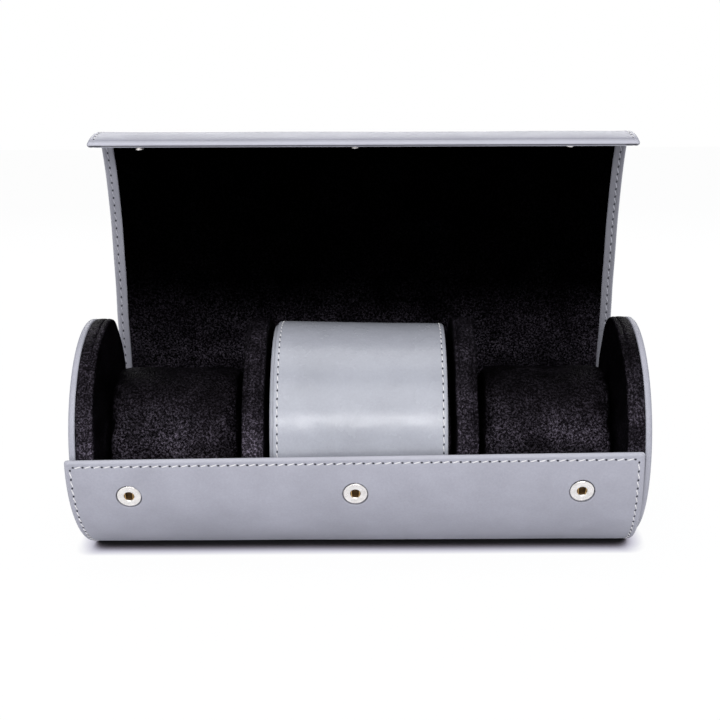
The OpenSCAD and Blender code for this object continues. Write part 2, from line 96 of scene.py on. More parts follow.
class NodeBoard:
    """A material's node tree with short calls for adding and joining nodes."""

    def __init__(self, name: str) -> None:
        """Makes an empty node material with a surface shader.

        Args:
            name: The material's name.
        """
        self.material = bpy.data.materials.new(name)
        self.material.use_nodes = True
        self.tree = self.material.node_tree
        self.tree.nodes.clear()
        self.output = self.tree.nodes.new("ShaderNodeOutputMaterial")
        self.shader = self.tree.nodes.new("ShaderNodeBsdfPrincipled")
        self.join(self.shader.outputs["BSDF"], self.output.inputs["Surface"])
        self.coords = self.tree.nodes.new("ShaderNodeTexCoord").outputs["Object"]

    def join(self, source: Socket, target: Socket) -> None:
        """Links an output to an input."""
        self.tree.links.new(source, target)

    def add(self, kind: str, **values: object) -> bpy.types.Node:
        """Adds a node and sets its inputs or properties by name.

        Args:
            kind: The node's type.
            **values: Input values, with _ for a space, or node properties.

        Returns:
            The new node.
        """
        node = self.tree.nodes.new(kind)
        for key, value in values.items():
            title = key.replace("_", " ")
            if title in node.inputs:
                node.inputs[title].default_value = value
            else:
                setattr(node, key, value)
        return node

    def noise(self, scale: float, detail: float = 4, rough: float = 0.55) -> Socket:
        """Noise over the object's own coordinates.

        Args:
            scale: Features per metre.
            detail: Number of octaves.
            rough: How strong the finer octaves are.

        Returns:
            The noise value's socket.
        """
        node = self.add("ShaderNodeTexNoise", Scale=scale, Detail=detail, Roughness=rough)
        self.join(self.coords, node.inputs["Vector"])
        return node.outputs["Fac"]

    def cells(self, scale: float) -> Socket:
        """Cell distance over the object's own coordinates.

        Args:
            scale: Cells per metre.

        Returns:
            The distance's socket.
        """
        node = self.add("ShaderNodeTexVoronoi", Scale=scale)
        self.join(self.coords, node.inputs["Vector"])
        return node.outputs["Distance"]

    def axis(self, vector: Socket, letter: str) -> Socket:
        """One axis of a vector.

        Args:
            vector: The vector's socket.
            letter: X, Y or Z.

        Returns:
            The value's socket.
        """
        split = self.add("ShaderNodeSeparateXYZ")
        self.join(vector, split.inputs["Vector"])
        return split.outputs[letter]

    def ramp(self, source: Socket, stops: Sequence[tuple[float, Sequence[float]]]) -> Socket:
        """Turns a value into a colour.

        Args:
            source: The value's socket.
            stops: Places from 0 to 1, each with its colour.

        Returns:
            The colour's socket.
        """
        node = self.add("ShaderNodeValToRGB")
        bar = node.color_ramp
        while len(bar.elements) < len(stops):
            bar.elements.new(0.5)
        for element, (place, colour) in zip(bar.elements, stops):
            element.position = place
            element.color = (*colour, 1.0)
        self.join(source, node.inputs["Fac"])
        return node.outputs["Color"]

    def greys(self, source: Socket, stops: Sequence[tuple[float, float]]) -> Socket:
        """Turns a value into a grey, with a share of white at each place."""
        return self.ramp(source, [(place, shade(WHITE, share)) for place, share in stops])

    def scaled(self, source: Socket, low: float, high: float) -> Socket:
        """Stretches a 0 to 1 value to a new range.

        Args:
            source: The value's socket.
            low: What 0 becomes.
            high: What 1 becomes.

        Returns:
            The stretched value's socket.
        """
        node = self.add("ShaderNodeMapRange", To_Min=low, To_Max=high)
        self.join(source, node.inputs["Value"])
        return node.outputs["Result"]

    def blend(self, mode: str, share: object, a: object, b: object) -> Socket:
        """Mixes two colours.

        Args:
            mode: The way of mixing.
            share: A number or a socket for how much of b shows.
            a: A colour or a socket.
            b: A colour or a socket.

        Returns:
            The mixed colour's socket.
        """
        node = self.add("ShaderNodeMix", data_type="RGBA", blend_type=mode)
        for index, value in ((0, share), (6, a), (7, b)):
            if isinstance(value, Socket):
                self.join(value, node.inputs[index])
            elif index == 0:
                node.inputs[index].default_value = value
            else:
                node.inputs[index].default_value = (*value, 1.0)
        return node.outputs[2]

    def bump(self, heights: Sequence[tuple[Socket, float, float]]) -> None:
        """Puts layers of relief on the shader.

        Args:
            heights: For each layer its height socket, strength and depth in metres.
        """
        below = None
        for height, strength, depth in heights:
            node = self.add("ShaderNodeBump", Strength=strength, Distance=depth)
            self.join(height, node.inputs["Height"])
            if below is not None:
                self.join(below, node.inputs["Normal"])
            below = node.outputs["Normal"]
        self.join(below, self.shader.inputs["Normal"])

    def feed(self, **sources: Socket) -> None:
        """Joins sockets to the shader's inputs, with _ for a space in a name."""
        for key, source in sources.items():
            self.join(source, self.shader.inputs[key.replace("_", " ")])

    def set(self, **values: object) -> None:
        """Sets plain values on the shader, with _ for a space in a name."""
        for key, value in values.items():
            self.shader.inputs[key.replace("_", " ")].default_value = value


@dataclass(frozen=True)
class SmoothLeather:
    """Smooth dyed leather with a fine grain, soft blotches, worn edges, dark seams and painted
    shade.

    The attribute "edge" is above 0 where the leather is worn and below 0 where it is
    painted darker: in the dark seams, and as painted shade on the lid's inner borders,
    along the closing groove and on the walls of the socket wells.
    """

    name: str = "smooth_leather"
    dye: Colour = (0.328, 0.329, 0.382)
    worn: Colour = (0.50, 0.50, 0.56)
    roughness: float = 0.48
    crumple: float = 0.05
    shine: float = 0.34
    joint_and_painted_shade_share: float = -0.8
    joint_and_painted_shade_dark: float = 0.16
    blotch_scale: float = 38
    grain_scale: float = 950
    rub_scale: float = 60
    swell_scale: float = 26
    crease_scale: float = 120
    pore_scale: float = 1500
    fine_scale: float = 2600
    fold_depth: float = 0.0009

    def make(self) -> bpy.types.Material:
        """Builds the material.

        Returns:
            The material.
        """
        board = NodeBoard(self.name)
        blotches = board.ramp(board.noise(self.blotch_scale, 5, 0.6), [
            (0.30, shade(self.dye, 0.90)), (0.55, self.dye), (0.78, shade(self.dye, 1.09))])
        grain = board.greys(board.noise(self.grain_scale, 3, 0.7), [(0.25, 0.90), (0.75, 1.06)])
        mottle = board.blend("MULTIPLY", 0.8, blotches, grain)
        edge = board.add("ShaderNodeAttribute", attribute_name="edge").outputs["Fac"]
        # Below 0 the edge attribute mixes towards a dark colour: dark seams, and painted shade on
        # the lid's inner borders, along the closing groove and in the socket wells.
        seam = board.add("ShaderNodeMath", operation="MULTIPLY", use_clamp=True)
        seam.inputs[1].default_value = self.joint_and_painted_shade_share
        board.join(edge, seam.inputs[0])
        rubbed = board.blend("MIX", edge, mottle, self.worn)
        dark = shade(self.dye, self.joint_and_painted_shade_dark)
        rub = board.scaled(board.noise(self.rub_scale, 4, 0.6), self.roughness - 0.08,
                           self.roughness + 0.10)
        board.feed(Base_Color=board.blend("MIX", seam.outputs[0], rubbed, dark), Roughness=rub)
        board.set(Specular_IOR_Level=self.shine, Coat_Weight=0.05, Coat_Roughness=0.35)
        board.bump([
            (board.noise(self.swell_scale, 3, 0.5), 0.35, self.fold_depth),
            (board.noise(self.crease_scale, 1, 0.4), self.crumple, self.fold_depth),
            (board.cells(self.pore_scale), 0.16, 0.00007),
            (board.noise(self.fine_scale, 2, 0.6), 0.16, 0.00006),
        ])
        return board.material


@dataclass(frozen=True)
class NappedSuede:
    """Near-black suede with light flecks and strokes in its nap, and painted light and shade.

    How light the nap is painted follows a row of heights, as shares of height_range
    in metres, each with a strength: a painted highlight band where the light falls and
    painted shade above and below it. Faces turned sideways are painted darker, as
    painted shade.
    """

    name: str
    ground: float
    fleck: float
    stroke: float
    relief: float
    shine: float
    sideways_painted_shade: float
    painted_light_by_height: tuple[tuple[float, float], ...]
    plum: Colour = (1.02, 0.88, 1.16)
    gloss_tint: Colour = (1.0, 0.84, 1.0)
    height_range: float = 0.2
    fleck_scale: float = 980
    stroke_scale: float = 52
    tuft_scale: float = 150
    nap_scale: float = 820
    nap_depth: float = 0.0012

    def make(self) -> bpy.types.Material:
        """Builds the material.

        Returns:
            The material.
        """
        board = NodeBoard(self.name)
        nap = board.ramp(board.noise(self.fleck_scale, 5, 0.78), [
            (0.42, shade(self.plum, self.ground)), (0.50, shade(self.plum, 0.16 * self.fleck)),
            (0.58, shade(self.plum, self.fleck)), (0.68, shade(self.plum, 1.7 * self.fleck))])
        # Painted light and shade by height: a lighter band with darker nap above and below.
        height = board.add("ShaderNodeMapRange", From_Min=0.0, From_Max=self.height_range)
        board.join(board.axis(board.coords, "Z"), height.inputs["Value"])
        band = board.greys(height.outputs["Result"], self.painted_light_by_height)
        strokes = board.greys(board.noise(self.stroke_scale, 4, 0.65),
                              [(0.36, 0.30), (0.64, 1.5)])
        # Painted shade: faces turned sideways are darker.
        normal = board.add("ShaderNodeTexCoord").outputs["Normal"]
        sideways = board.add("ShaderNodeMath", operation="ABSOLUTE")
        board.join(board.axis(normal, "X"), sideways.inputs[0])
        sideways_painted_shade = board.greys(sideways.outputs["Value"], [(0.5, 1.0), (0.9, self.sideways_painted_shade)])
        lit = board.blend("MULTIPLY", 1.0, board.blend("MULTIPLY", 1.0, nap, band), sideways_painted_shade)
        board.feed(Base_Color=board.blend("MULTIPLY", self.stroke, lit, strokes))
        board.set(Roughness=0.45, Specular_IOR_Level=self.shine,
                  Specular_Tint=(*self.gloss_tint, 1.0))
        board.bump([
            (board.noise(self.tuft_scale, 4, 0.6), 0.4 * self.relief, self.nap_depth),
            (board.noise(self.nap_scale, 2, 0.7), self.relief, self.nap_depth),
        ])
        return board.material


@dataclass(frozen=True)
class WaxedThread:
    """Thread with the fine slant of its twisted strands."""

    name: str
    tint: Colour

    def make(self) -> bpy.types.Material:
        """Builds the material.

        Returns:
            The material.
        """
        board = NodeBoard(self.name)
        strands = board.add("ShaderNodeTexWave", Scale=900.0, Distortion=1.5,
                            bands_direction="DIAGONAL")
        board.join(board.coords, strands.inputs["Vector"])
        twist = strands.outputs["Fac"]
        board.feed(Base_Color=board.ramp(twist, [(0.1, shade(self.tint, 0.72)), (0.7, self.tint)]))
        board.set(Roughness=0.55, Specular_IOR_Level=0.3)
        board.bump([(twist, 0.5, 0.00012)])
        return board.material


@dataclass(frozen=True)
class NeedleHoleShade:
    """Painted shade: the dark colour of the hole where a stitch enters the leather."""

    name: str = "needle_hole_painted_shade"
    deep: Colour = (0.022, 0.022, 0.028)
    shallow: Colour = (0.05, 0.05, 0.06)

    def make(self) -> bpy.types.Material:
        """Builds the material.

        Returns:
            The material.
        """
        board = NodeBoard(self.name)
        board.feed(Base_Color=board.ramp(board.noise(1500, 2),
                                         [(0.3, self.deep), (0.7, self.shallow)]))
        board.set(Roughness=0.9, Specular_IOR_Level=0.1)
        return board.material


@dataclass(frozen=True)
class PlatedMetal:
    """Plated or plain metal with faint turning marks and smudges."""

    name: str
    tint: Colour
    roughness: float
    marks: float

    def make(self) -> bpy.types.Material:
        """Builds the material.

        Returns:
            The material.
        """
        board = NodeBoard(self.name)
        smudge = board.scaled(board.noise(300, 5), self.roughness - 0.06, self.roughness + 0.08)
        board.feed(Roughness=smudge, Base_Color=board.ramp(
            board.noise(420, 4), [(0.3, shade(self.tint, 0.82)), (0.7, self.tint)]))
        board.set(Metallic=1.0)
        board.bump([(board.noise(2200, 2), self.marks, 0.00005)])
        return board.material


class Finishes:
    """All finishes of the roll, made once."""

    # Painted light and shade by height for each suede: lighter in a band where light falls, darker
    # above and below; the lining is painted near black high up in the lid.
    LINING_PAINTED_LIGHT = ((0.0, 0.3), (0.30, 0.9), (0.42, 1.9), (0.475, 0.95), (0.515, 0.48),
                  (0.555, 0.18), (0.60, 0.06), (0.68, 0.03), (1.0, 0.02))
    DISC_PAINTED_LIGHT = ((0.0, 0.3), (0.20, 0.45), (0.25, 0.80), (0.29, 1.10), (0.34, 0.65),
                (0.42, 0.34), (0.60, 0.26), (1.0, 0.05))
    CUSHION_PAINTED_LIGHT = ((0.0, 0.3), (0.20, 0.45), (0.245, 0.85), (0.275, 1.3), (0.30, 1.15),
                   (0.335, 0.48), (0.39, 0.17), (0.60, 0.08), (1.0, 0.02))

    def __init__(self) -> None:
        """Builds each material."""
        self.panel = SmoothLeather().make()
        self.wrap = SmoothLeather("wrap_leather", dye=(0.335, 0.345, 0.392),
                                  worn=(0.50, 0.51, 0.56), roughness=0.25, crumple=0.22,
                                  shine=0.46).make()
        self.lining = NappedSuede("lining_suede", ground=0.0003, fleck=0.022, stroke=0.8,
                                  relief=0.6, shine=0.0, sideways_painted_shade=1.0,
                                  painted_light_by_height=self.LINING_PAINTED_LIGHT).make()
        self.disc = NappedSuede("disc_suede", ground=0.0080, fleck=0.100, stroke=0.9,
                                relief=0.9, shine=0.02, sideways_painted_shade=0.19,
                                painted_light_by_height=self.DISC_PAINTED_LIGHT).make()
        self.cushion = NappedSuede("cushion_suede", ground=0.0010, fleck=0.070, stroke=1.0,
                                   relief=1.0, shine=0.035, sideways_painted_shade=0.12,
                                   painted_light_by_height=self.CUSHION_PAINTED_LIGHT).make()
        self.thread = WaxedThread("waxed_thread", (0.80, 0.79, 0.80)).make()
        # Painted shade: the stitches sunk in the closing groove take a darker thread for the
        # groove's shade.
        self.groove_shade_thread = WaxedThread("groove_thread_painted_shade", (0.30, 0.30, 0.35)).make()
        # Painted shade: the inner stitches take a darker thread for the shade inside the roll.
        self.painted_shade_thread = WaxedThread("inner_thread_painted_shade", (0.40, 0.40, 0.45)).make()
        # Painted shade: a dark oval stands for each needle hole.
        self.hole = NeedleHoleShade().make()
        self.nickel = PlatedMetal("nickel_plate", tint=(1.0, 0.965, 0.925), roughness=0.26,
                                  marks=0.15).make()
        self.brass = PlatedMetal("spring_brass", tint=(0.72, 0.47, 0.20), roughness=0.34,
                                 marks=0.3).make()
        self.dark_brass = PlatedMetal("aged_brass", tint=(0.085, 0.05, 0.022), roughness=0.45,
                                      marks=0.3).make()


# ---- Mesh helpers -----------------------------------------------------------


def new_piece(name: str, points: np.ndarray, faces: list, material: bpy.types.Material,
              normals: np.ndarray | None = None) -> Piece:
    """Makes a smooth-shaded piece.

    Args:
        name: The piece's name.
        points: One row of three numbers for each point.
        faces: Lists of point numbers.
        material: Its finish.
        normals: A normal for each point, where the shading runs on into another piece.

    Returns:
        The new object.
    """
    mesh = bpy.data.meshes.new(name)
    mesh.from_pydata((np.asarray(points) * MM).tolist(), [], faces)
    mesh.validate()
    mesh.polygons.foreach_set("use_smooth", [True] * len(mesh.polygons))
    mesh.materials.append(material)
    if normals is not None:
        mesh.normals_split_custom_set_from_vertices(normals.tolist())
    mesh.update()
    piece = bpy.data.objects.new(name, mesh)
    bpy.context.scene.collection.objects.link(piece)
    return piece


def joined_piece(name: str, parts: Sequence[Part], material: bpy.types.Material) -> Piece:
    """Makes one piece of many small ones.

    Args:
        name: The piece's name.
        parts: Pairs of points and faces.
        material: Its finish.

    Returns:
        The piece.
    """
    points, faces, shift = [], [], 0
    for part_points, part_faces in parts:
        points.append(part_points)
        faces += [[v + shift for v in face] for face in part_faces]
        shift += len(part_points)
    return new_piece(name, np.vstack(points), faces, material)


def paint(piece: Piece, name: str, values: np.ndarray) -> None:
    """Stores a value at each point of a piece for its finish to read."""
    mark = piece.data.attributes.new(name, "FLOAT", "POINT")
    mark.data.foreach_set("value", np.asarray(values, np.float32).ravel())


def grid_faces(rows: int, cols: int, ring: bool, flip: bool = False) -> list[list[int]]:
    """Quads of a grid of points, row by row.

    Args:
        rows: Number of rows.
        cols: Points in a row.
        ring: Whether the last point of a row joins its first.
        flip: Whether the faces turn the other way.

    Returns:
        The faces.
    """
    faces = []
    for r in range(rows - 1):
        for c in range(cols if ring else cols - 1):
            n = (c + 1) % cols
            quad = [r * cols + c, r * cols + n, (r + 1) * cols + n, (r + 1) * cols + c]
            faces.append(quad[::-1] if flip else quad)
    return faces


def distances(points: np.ndarray) -> np.ndarray:
    """How far along a line each of its points lies."""
    return np.concatenate([[0.0], np.cumsum(np.linalg.norm(np.diff(points, axis=0), axis=1))])


def cubic_line(points: np.ndarray, step: float, fine: float = 0.1) -> np.ndarray:
    """A smooth line through points, at an even step.

    Args:
        points: The points to pass through.
        step: Distance between the points of the line.
        fine: Distance between the points that the curve is worked out at.

    Returns:
        The line's points.
    """
    gaps = np.linalg.norm(np.diff(points, axis=0), axis=1)
    at = distances(points)
    n = len(points)
    left = np.zeros((n, n))
    right = np.zeros((n, points.shape[1]))
    left[0, 0] = left[-1, -1] = 1.0
    for i in range(1, n - 1):
        left[i, i - 1 : i + 2] = gaps[i - 1], 2 * (gaps[i - 1] + gaps[i]), gaps[i]
        ahead, behind = points[i + 1] - points[i], points[i] - points[i - 1]
        right[i] = 6 * (ahead / gaps[i] - behind / gaps[i - 1])
    second = np.linalg.solve(left, right)
    places = np.arange(0.0, at[-1], fine)
    k = np.clip(np.searchsorted(at, places, side="right") - 1, 0, n - 2)
    h = gaps[k][:, None]
    a = (at[k + 1] - places)[:, None] / h
    b = 1 - a
    curve = ((a**3 - a) * second[k] + (b**3 - b) * second[k + 1]) * h**2 / 6
    return even_line(np.vstack([a * points[k] + b * points[k + 1] + curve, points[-1]]), step)


def even_line(points: np.ndarray, step: float) -> np.ndarray:
    """The same line with its points at an even step.

    Args:
        points: The points of the line.
        step: Distance between the new points.

    Returns:
        The new points.
    """
    at = distances(points)
    places = np.linspace(0.0, at[-1], max(2, int(round(at[-1] / step)) + 1))
    return np.stack([np.interp(places, at, points[:, k]) for k in range(points.shape[1])], axis=1)


def turned_form(name: str, profile: np.ndarray, centre: Sequence[float], along: Sequence[float],
                material: bpy.types.Material, steps: int,
                shape: Callable[[np.ndarray], np.ndarray] | None = None) -> Piece:
    """Turns a profile of distance and radius about a line.

    Args:
        name: The piece's name.
        profile: Rows of distance along the line and radius.
        centre: A point on the line.
        along: The line's direction.
        material: Its finish.
        steps: Points round the line.
        shape: Changes the finished points, such as to press one side flat.

    Returns:
        The piece.
    """
    axis = Vector(along).normalized()
    side = Vector((0, 0, 1)) if abs(axis.x) > 0.9 else axis.orthogonal().normalized()
    up = axis.cross(side)
    turn = np.linspace(0, 2 * math.pi, steps, endpoint=False)
    ring = np.outer(np.cos(turn), side) + np.outer(np.sin(turn), up)
    far, radius = profile[:, 0, None, None], profile[:, 1, None, None]
    points = (np.array(centre) + far * np.array(axis) + radius * ring).reshape(-1, 3)
    if shape is not None:
        points = shape(points)
    return new_piece(name, points, grid_faces(len(profile), steps, True, True), material)


def press_flat(points: np.ndarray, gap: float = 0.05) -> np.ndarray:
    """Presses the underside of a disc flat, a gap above the lining."""
    points[:, 2] = np.maximum(points[:, 2], AXIS_Z + FLOOR_IN_Z + gap)
    return points


def uneven_rim(points: np.ndarray, waves: Sequence[tuple[float, int, float]],
               start: float = 40, width: float = 14) -> np.ndarray:
    """Waves a disc's rim sideways a little, as hand padding leaves it.

    Args:
        points: The disc's points, which are changed.
        waves: The height, the number round the rim and the phase of each wave.
        start: The radius where the waves begin.
        width: How much farther out they reach their full height.

    Returns:
        The changed points.
    """
    y, z = points[:, 1], points[:, 2] - AXIS_Z
    a = np.arctan2(z, y)
    rim = np.clip((np.hypot(y, z) - start) / width, 0, 1)
    points[:, 0] += rim * sum(high * np.sin(count * a + phase) for high, count, phase in waves)
    return points


def arc(centre: Sequence[float], radius: float, start: float, end: float, steps: int) -> np.ndarray:
    """Points on an arc, between two angles."""
    turn = np.radians(np.linspace(start, end, steps))
    return np.array(centre) + radius * np.stack([np.cos(turn), np.sin(turn)], axis=1)


def mirrored(half: np.ndarray) -> np.ndarray:
    """A profile's left half with its mirror image added on the right."""
    return np.vstack([half, half[::-1] * [-1, 1]])


# ---- Stitching --------------------------------------------------------------


class SeamRow:
    """The line of a row of stitches on a surface, read by the distance along it."""

    REACH = 0.3  # how far on each side the row's direction is taken

    def __init__(self, line: np.ndarray, outward: np.ndarray) -> None:
        """Measures the line.

        Args:
            line: Points of the line, close together.
            outward: The surface's outward direction at each point.
        """
        self.line, self.outward = line, outward
        self.at = distances(line)
        self.length = self.at[-1]

    def _read(self, grid: np.ndarray, s: float) -> np.ndarray:
        """Reads three columns at a distance."""
        return np.array([np.interp(s, self.at, grid[:, k]) for k in range(3)])

    def spot(self, s: float) -> tuple[np.ndarray, np.ndarray, np.ndarray, np.ndarray]:
        """Reads the row at a distance.

        Args:
            s: The distance along the row.

        Returns:
            The place, and the directions outward, along and across the row.
        """
        up = self._read(self.outward, s)
        after, before = min(s + self.REACH, self.length), max(s - self.REACH, 0.0)
        ahead = self._read(self.line, after) - self._read(self.line, before)
        ahead /= np.linalg.norm(ahead)
        return self._read(self.line, s), up, ahead, np.cross(up, ahead)


@dataclass
class SaddleStitch:
    """Slanted stitches and needle holes along a line on a surface."""

    pitch: float = 4.5
    share: float = 0.66
    thread: float = 0.30
    rise: float = 0.24
    slant: float = 0.40
    hole: float = 0.46
    hole_oval: float = 1.25
    hole_lift: float = 0.10
    hole_middle: float = 0.06
    sunk: float = 0.12
    tip: float = 0.62
    sway: float = 0.05
    sway_turn: float = 7.3
    rings: int = 7
    sides: int = 6
    hole_sides: int = 10

    def along(self, line: np.ndarray, outward: np.ndarray) -> tuple[list[Part], list[Part]]:
        """Lays stitches on a line.

        Args:
            line: Points of the line, close together.
            outward: The surface's outward direction at each point.

        Returns:
            The threads and the holes.
        """
        row = SeamRow(line, outward)
        places = np.linspace(0.0, row.length, max(1, int(round(row.length / self.pitch))) + 1)
        threads = [self._stitch(row, a, b - a) for a, b in zip(places, places[1:])]
        return threads, [self._dimple(row, s) for s in places]

    def _dimple(self, row: SeamRow, s: float) -> Part:
        """A small dark oval of painted shade for a needle hole, lying just proud of the leather.

        Args:
            row: The row that it belongs to.
            s: Its distance along the row.

        Returns:
            Its points and faces.
        """
        centre, up, ahead, cross = row.spot(s)
        n = self.hole_sides
        turn = np.linspace(0, 2 * math.pi, n, endpoint=False)
        oval = self.hole_oval * np.outer(np.cos(turn), ahead) + np.outer(np.sin(turn), cross)
        ring = centre + self.hole_lift * up + self.hole * oval
        points = np.vstack([ring, centre + self.hole_middle * up])
        return points, [[k, (k + 1) % n, n] for k in range(n)]

    def _stitch(self, row: SeamRow, start: float, step: float) -> Part:
        """A short slanted thread that dips into a hole at each end.

        Args:
            row: The row that it belongs to.
            start: Its distance along the row.
            step: Distance to the next hole.

        Returns:
            Its points and faces.
        """
        rings, sides = self.rings, self.sides
        sway = self.sway * math.sin(self.sway_turn * start)
        points = []
        for j in range(rings):
            u = j / (rings - 1)
            centre, up, _, cross = row.spot(start + step * (0.5 + self.share * (u - 0.5)))
            body = 1 - (2 * u - 1) ** 4
            middle = (centre + up * (self.rise * body - self.sunk)
                      + cross * (self.slant * (2 * u - 1) + sway))
            radius = self.thread * (self.tip + (1 - self.tip) * body)
            for k in range(sides):
                a = 2 * math.pi * k / sides
                points.append(middle + radius * (math.cos(a) * up + math.sin(a) * cross))
        faces = grid_faces(rings, sides, True)
        faces += [list(range(sides))[::-1], list(range((rings - 1) * sides, rings * sides))]
        return np.array(points), faces


# ---- The leather panel ------------------------------------------------------


@dataclass
class PanelLine:
    """The panel's inner face in end view, from the front edge round to the closing edge.

    Positions are (y, z) from the roll's axis, with the lid open. Angles go round the
    axis from the front, with 90 on top. The drifts, the tilt, the sag and the droop
    are the small skew of a hand-made roll.
    """

    in_r: float = 54.0
    out_r: float = 57.2
    front_edge: float = -0.5
    front_fold: float = -52.0
    flat_from: float = -97.0
    heel: float = 250.0
    crease: float = 1.0
    crease_lift: float = 0.95
    lid_lift: float = 0.8
    closing_r: float = 60.0
    closing_len: float = 30.5
    lead: float = 3.0
    front_drift: float = -2.7
    lid_drift: float = 1.8
    tilt: float = 1.4
    sag: float = 0.2
    droop: float = 0.35
    droop_at_edge: float = 0.35
    half_width: float = 134.0
    lift_from: int = 3
    base_room: float = 6.0
    leans: tuple[float, ...] = (1.473, 54.5, 94.0, 101.0, 98.0, 102.5, 115.0, 186.0)
    bulge: tuple[float, ...] = (2.3, 2.5, 2.2, 1.65, 1.65, 1.65, 1.7)
    fold_lift: tuple[float, ...] = (0.0, 0.9, 0.9, 0.8, 0.8, 0.8, 0.6)
    step: float = 0.5
    front_steps: int = 120
    bow_steps: int = 62
    roundings: int = 5

    def __post_init__(self) -> None:
        """Works out the folds, the line, its directions and where each fold lies on it."""
        self.folds = self._open_folds()
        self.line = self._trace()
        ahead = np.gradient(self.line, axis=0)
        ahead /= np.linalg.norm(ahead, axis=1)[:, None]
        self.out = np.stack([ahead[:, 1], -ahead[:, 0]], axis=1)
        self.at = distances(self.line) - self.lead
        self.length = float(self.at[-1])
        self.bottom = self._nearest(np.array([0, FLOOR_IN_Z]))
        marks = [self.ring(self.in_r, self.front_fold), *self.folds[: STRIPS + 1]]
        self.fold_at = [self._nearest(mark) for mark in marks]
        self.heel_at, self.middle_at, self.crease_at = (self.fold_at[i] for i in (1, 4, -1))

    def _nearest(self, mark: np.ndarray) -> float:
        """Distance along the line to its point nearest a mark."""
        return float(self.at[np.argmin(np.linalg.norm(self.line - mark, axis=1))])

    @staticmethod
    def ring(r: float, degrees: float) -> np.ndarray:
        """Point at a radius and an angle round the axis."""
        a = math.radians(degrees)
        return np.array([-r * math.cos(a), r * math.sin(a)])

    def _open_folds(self) -> np.ndarray:
        """The folds of the open lid, from the heel to the closing edge.

        Returns:
            One row of y and z for each fold.
        """
        step = (self.heel - self.crease) / STRIPS
        closed = [self.ring(self.in_r + (self.lid_lift if i >= self.lift_from else 0),
                            self.heel - i * step) for i in range(STRIPS)]
        closed.append(self.ring(self.out_r + self.crease_lift, self.crease))
        chords = [float(np.linalg.norm(b - a)) for a, b in zip(closed, closed[1:])]
        folds = [closed[0]]
        for chord, lean in zip([*chords, self.closing_len], self.leans):
            a = math.radians(lean)
            folds.append(folds[-1] + chord * np.array([math.cos(a), math.sin(a)]))
        return np.array(folds)

    def _trace(self) -> np.ndarray:
        """Draws the line: the round front and base, the soft lid and the closing flap.

        Returns:
            The points of the line.
        """
        top = self.front_edge + math.degrees(self.lead / self.in_r)
        angles = np.linspace(top, self.flat_from, self.front_steps)
        front = np.array([self.ring(self.in_r, a) for a in angles])
        front[:, 1] = np.maximum(front[:, 1], FLOOR_IN_Z)
        knots = [front[-1]]
        for i in range(STRIPS):
            a, b = self.folds[i], self.folds[i + 1]
            d = (b - a) / np.linalg.norm(b - a)
            out = np.array([d[1], -d[0]])
            before = self.folds[i] - (self.folds[i - 1] if i else front[-1])
            before = before / np.linalg.norm(before)
            mean = out + np.array([before[1], -before[0]])
            mean /= np.linalg.norm(mean)
            knots += [a + self.fold_lift[i] * mean, (a + b) / 2 + self.bulge[i] * out]
        lid = cubic_line(np.array([*knots, self.folds[STRIPS]]), self.step)
        flap = self._closing_bow(self.folds[STRIPS], self.folds[STRIPS + 1])
        parts = [even_line(front, self.step), lid[1:], flap[1:]]
        return self._eased(even_line(np.vstack(parts), self.step))

    def _closing_bow(self, a: np.ndarray, b: np.ndarray) -> np.ndarray:
        """The bowed closing flap.

        Args:
            a: The crease.
            b: The closing edge.

        Returns:
            The flap's points.
        """
        half = math.asin(self.closing_len / 2 / self.closing_r)
        d = (b - a) / self.closing_len
        out = np.array([d[1], -d[0]])
        middle = (a + b) / 2 - out * self.closing_r * math.cos(half)
        turn = np.linspace(-half, half, self.bow_steps)[:, None]
        return middle + self.closing_r * (np.sin(turn) * d + np.cos(turn) * out)

    def _eased(self, line: np.ndarray) -> np.ndarray:
        """Rounds every corner of the line a little, with its ends kept.

        Args:
            line: The points of the line.

        Returns:
            The rounded line.
        """
        for _ in range(self.roundings):
            inner = 0.25 * line[:-2] + 0.5 * line[1:-1] + 0.25 * line[2:]
            line = np.vstack([line[:1], inner, line[-1:]])
        return even_line(line, self.step)

    def place(self, s: np.ndarray, x: np.ndarray, n: np.ndarray) -> np.ndarray:
        """Points of the panel, with the small skew and sag of a hand-made one.

        Args:
            s: Distance along the line.
            x: Place across the panel.
            n: Distance outward from the inner face.

        Returns:
            Points in the object's frame.
        """
        s, x, n = np.broadcast_arrays(*(np.asarray(v, float) for v in (s, x, n)))
        across = x / self.half_width
        skewed = s - self.tilt * x / self.half_width * self._ease(1 - s / self.bottom)
        y, z = (np.interp(skewed, self.at, self.line[:, k])
                + n * np.interp(skewed, self.at, self.out[:, k]) for k in (0, 1))
        rise = self._ease((s - self.middle_at) / (self.crease_at - self.middle_at))
        fall = self._ease((self.length - s) / (self.length - self.crease_at))
        z = z - self.sag * (1 - across**2) * rise * fall
        share = self.droop_at_edge + (1 - self.droop_at_edge) * fall
        z = z - self.droop * x / self.half_width * rise * share
        lid = self._ease((s - self.heel_at) / (self.crease_at - self.heel_at))
        front = self._ease(1 - s / (self.bottom + self.base_room))
        drift = self.front_drift * front + self.lid_drift * lid
        return np.stack([x + drift, y, z + AXIS_Z], axis=-1)

    @staticmethod
    def _ease(share: np.ndarray) -> np.ndarray:
        """A soft step from 0 to 1."""
        t = np.clip(share, 0, 1)
        return t * t * (3 - 2 * t)

    def outward(self, s: np.ndarray) -> np.ndarray:
        """The outward direction at distances along the line.

        Args:
            s: Distances along the line.

        Returns:
            A unit vector for each distance.
        """
        y, z = (np.interp(s, self.at, self.out[:, k]) for k in (0, 1))
        v = np.stack([np.zeros_like(y), y, z], axis=-1)
        return v / np.linalg.norm(v, axis=-1, keepdims=True)


@dataclass
class Stretch:
    """A stretch of the panel across one fold, with the bodies on either side and the span of its
    bend.
    """

    name: str
    first: str
    second: str
    start: float
    end: float
    bend_from: float
    bend_to: float
    nodes: tuple[str, ...]


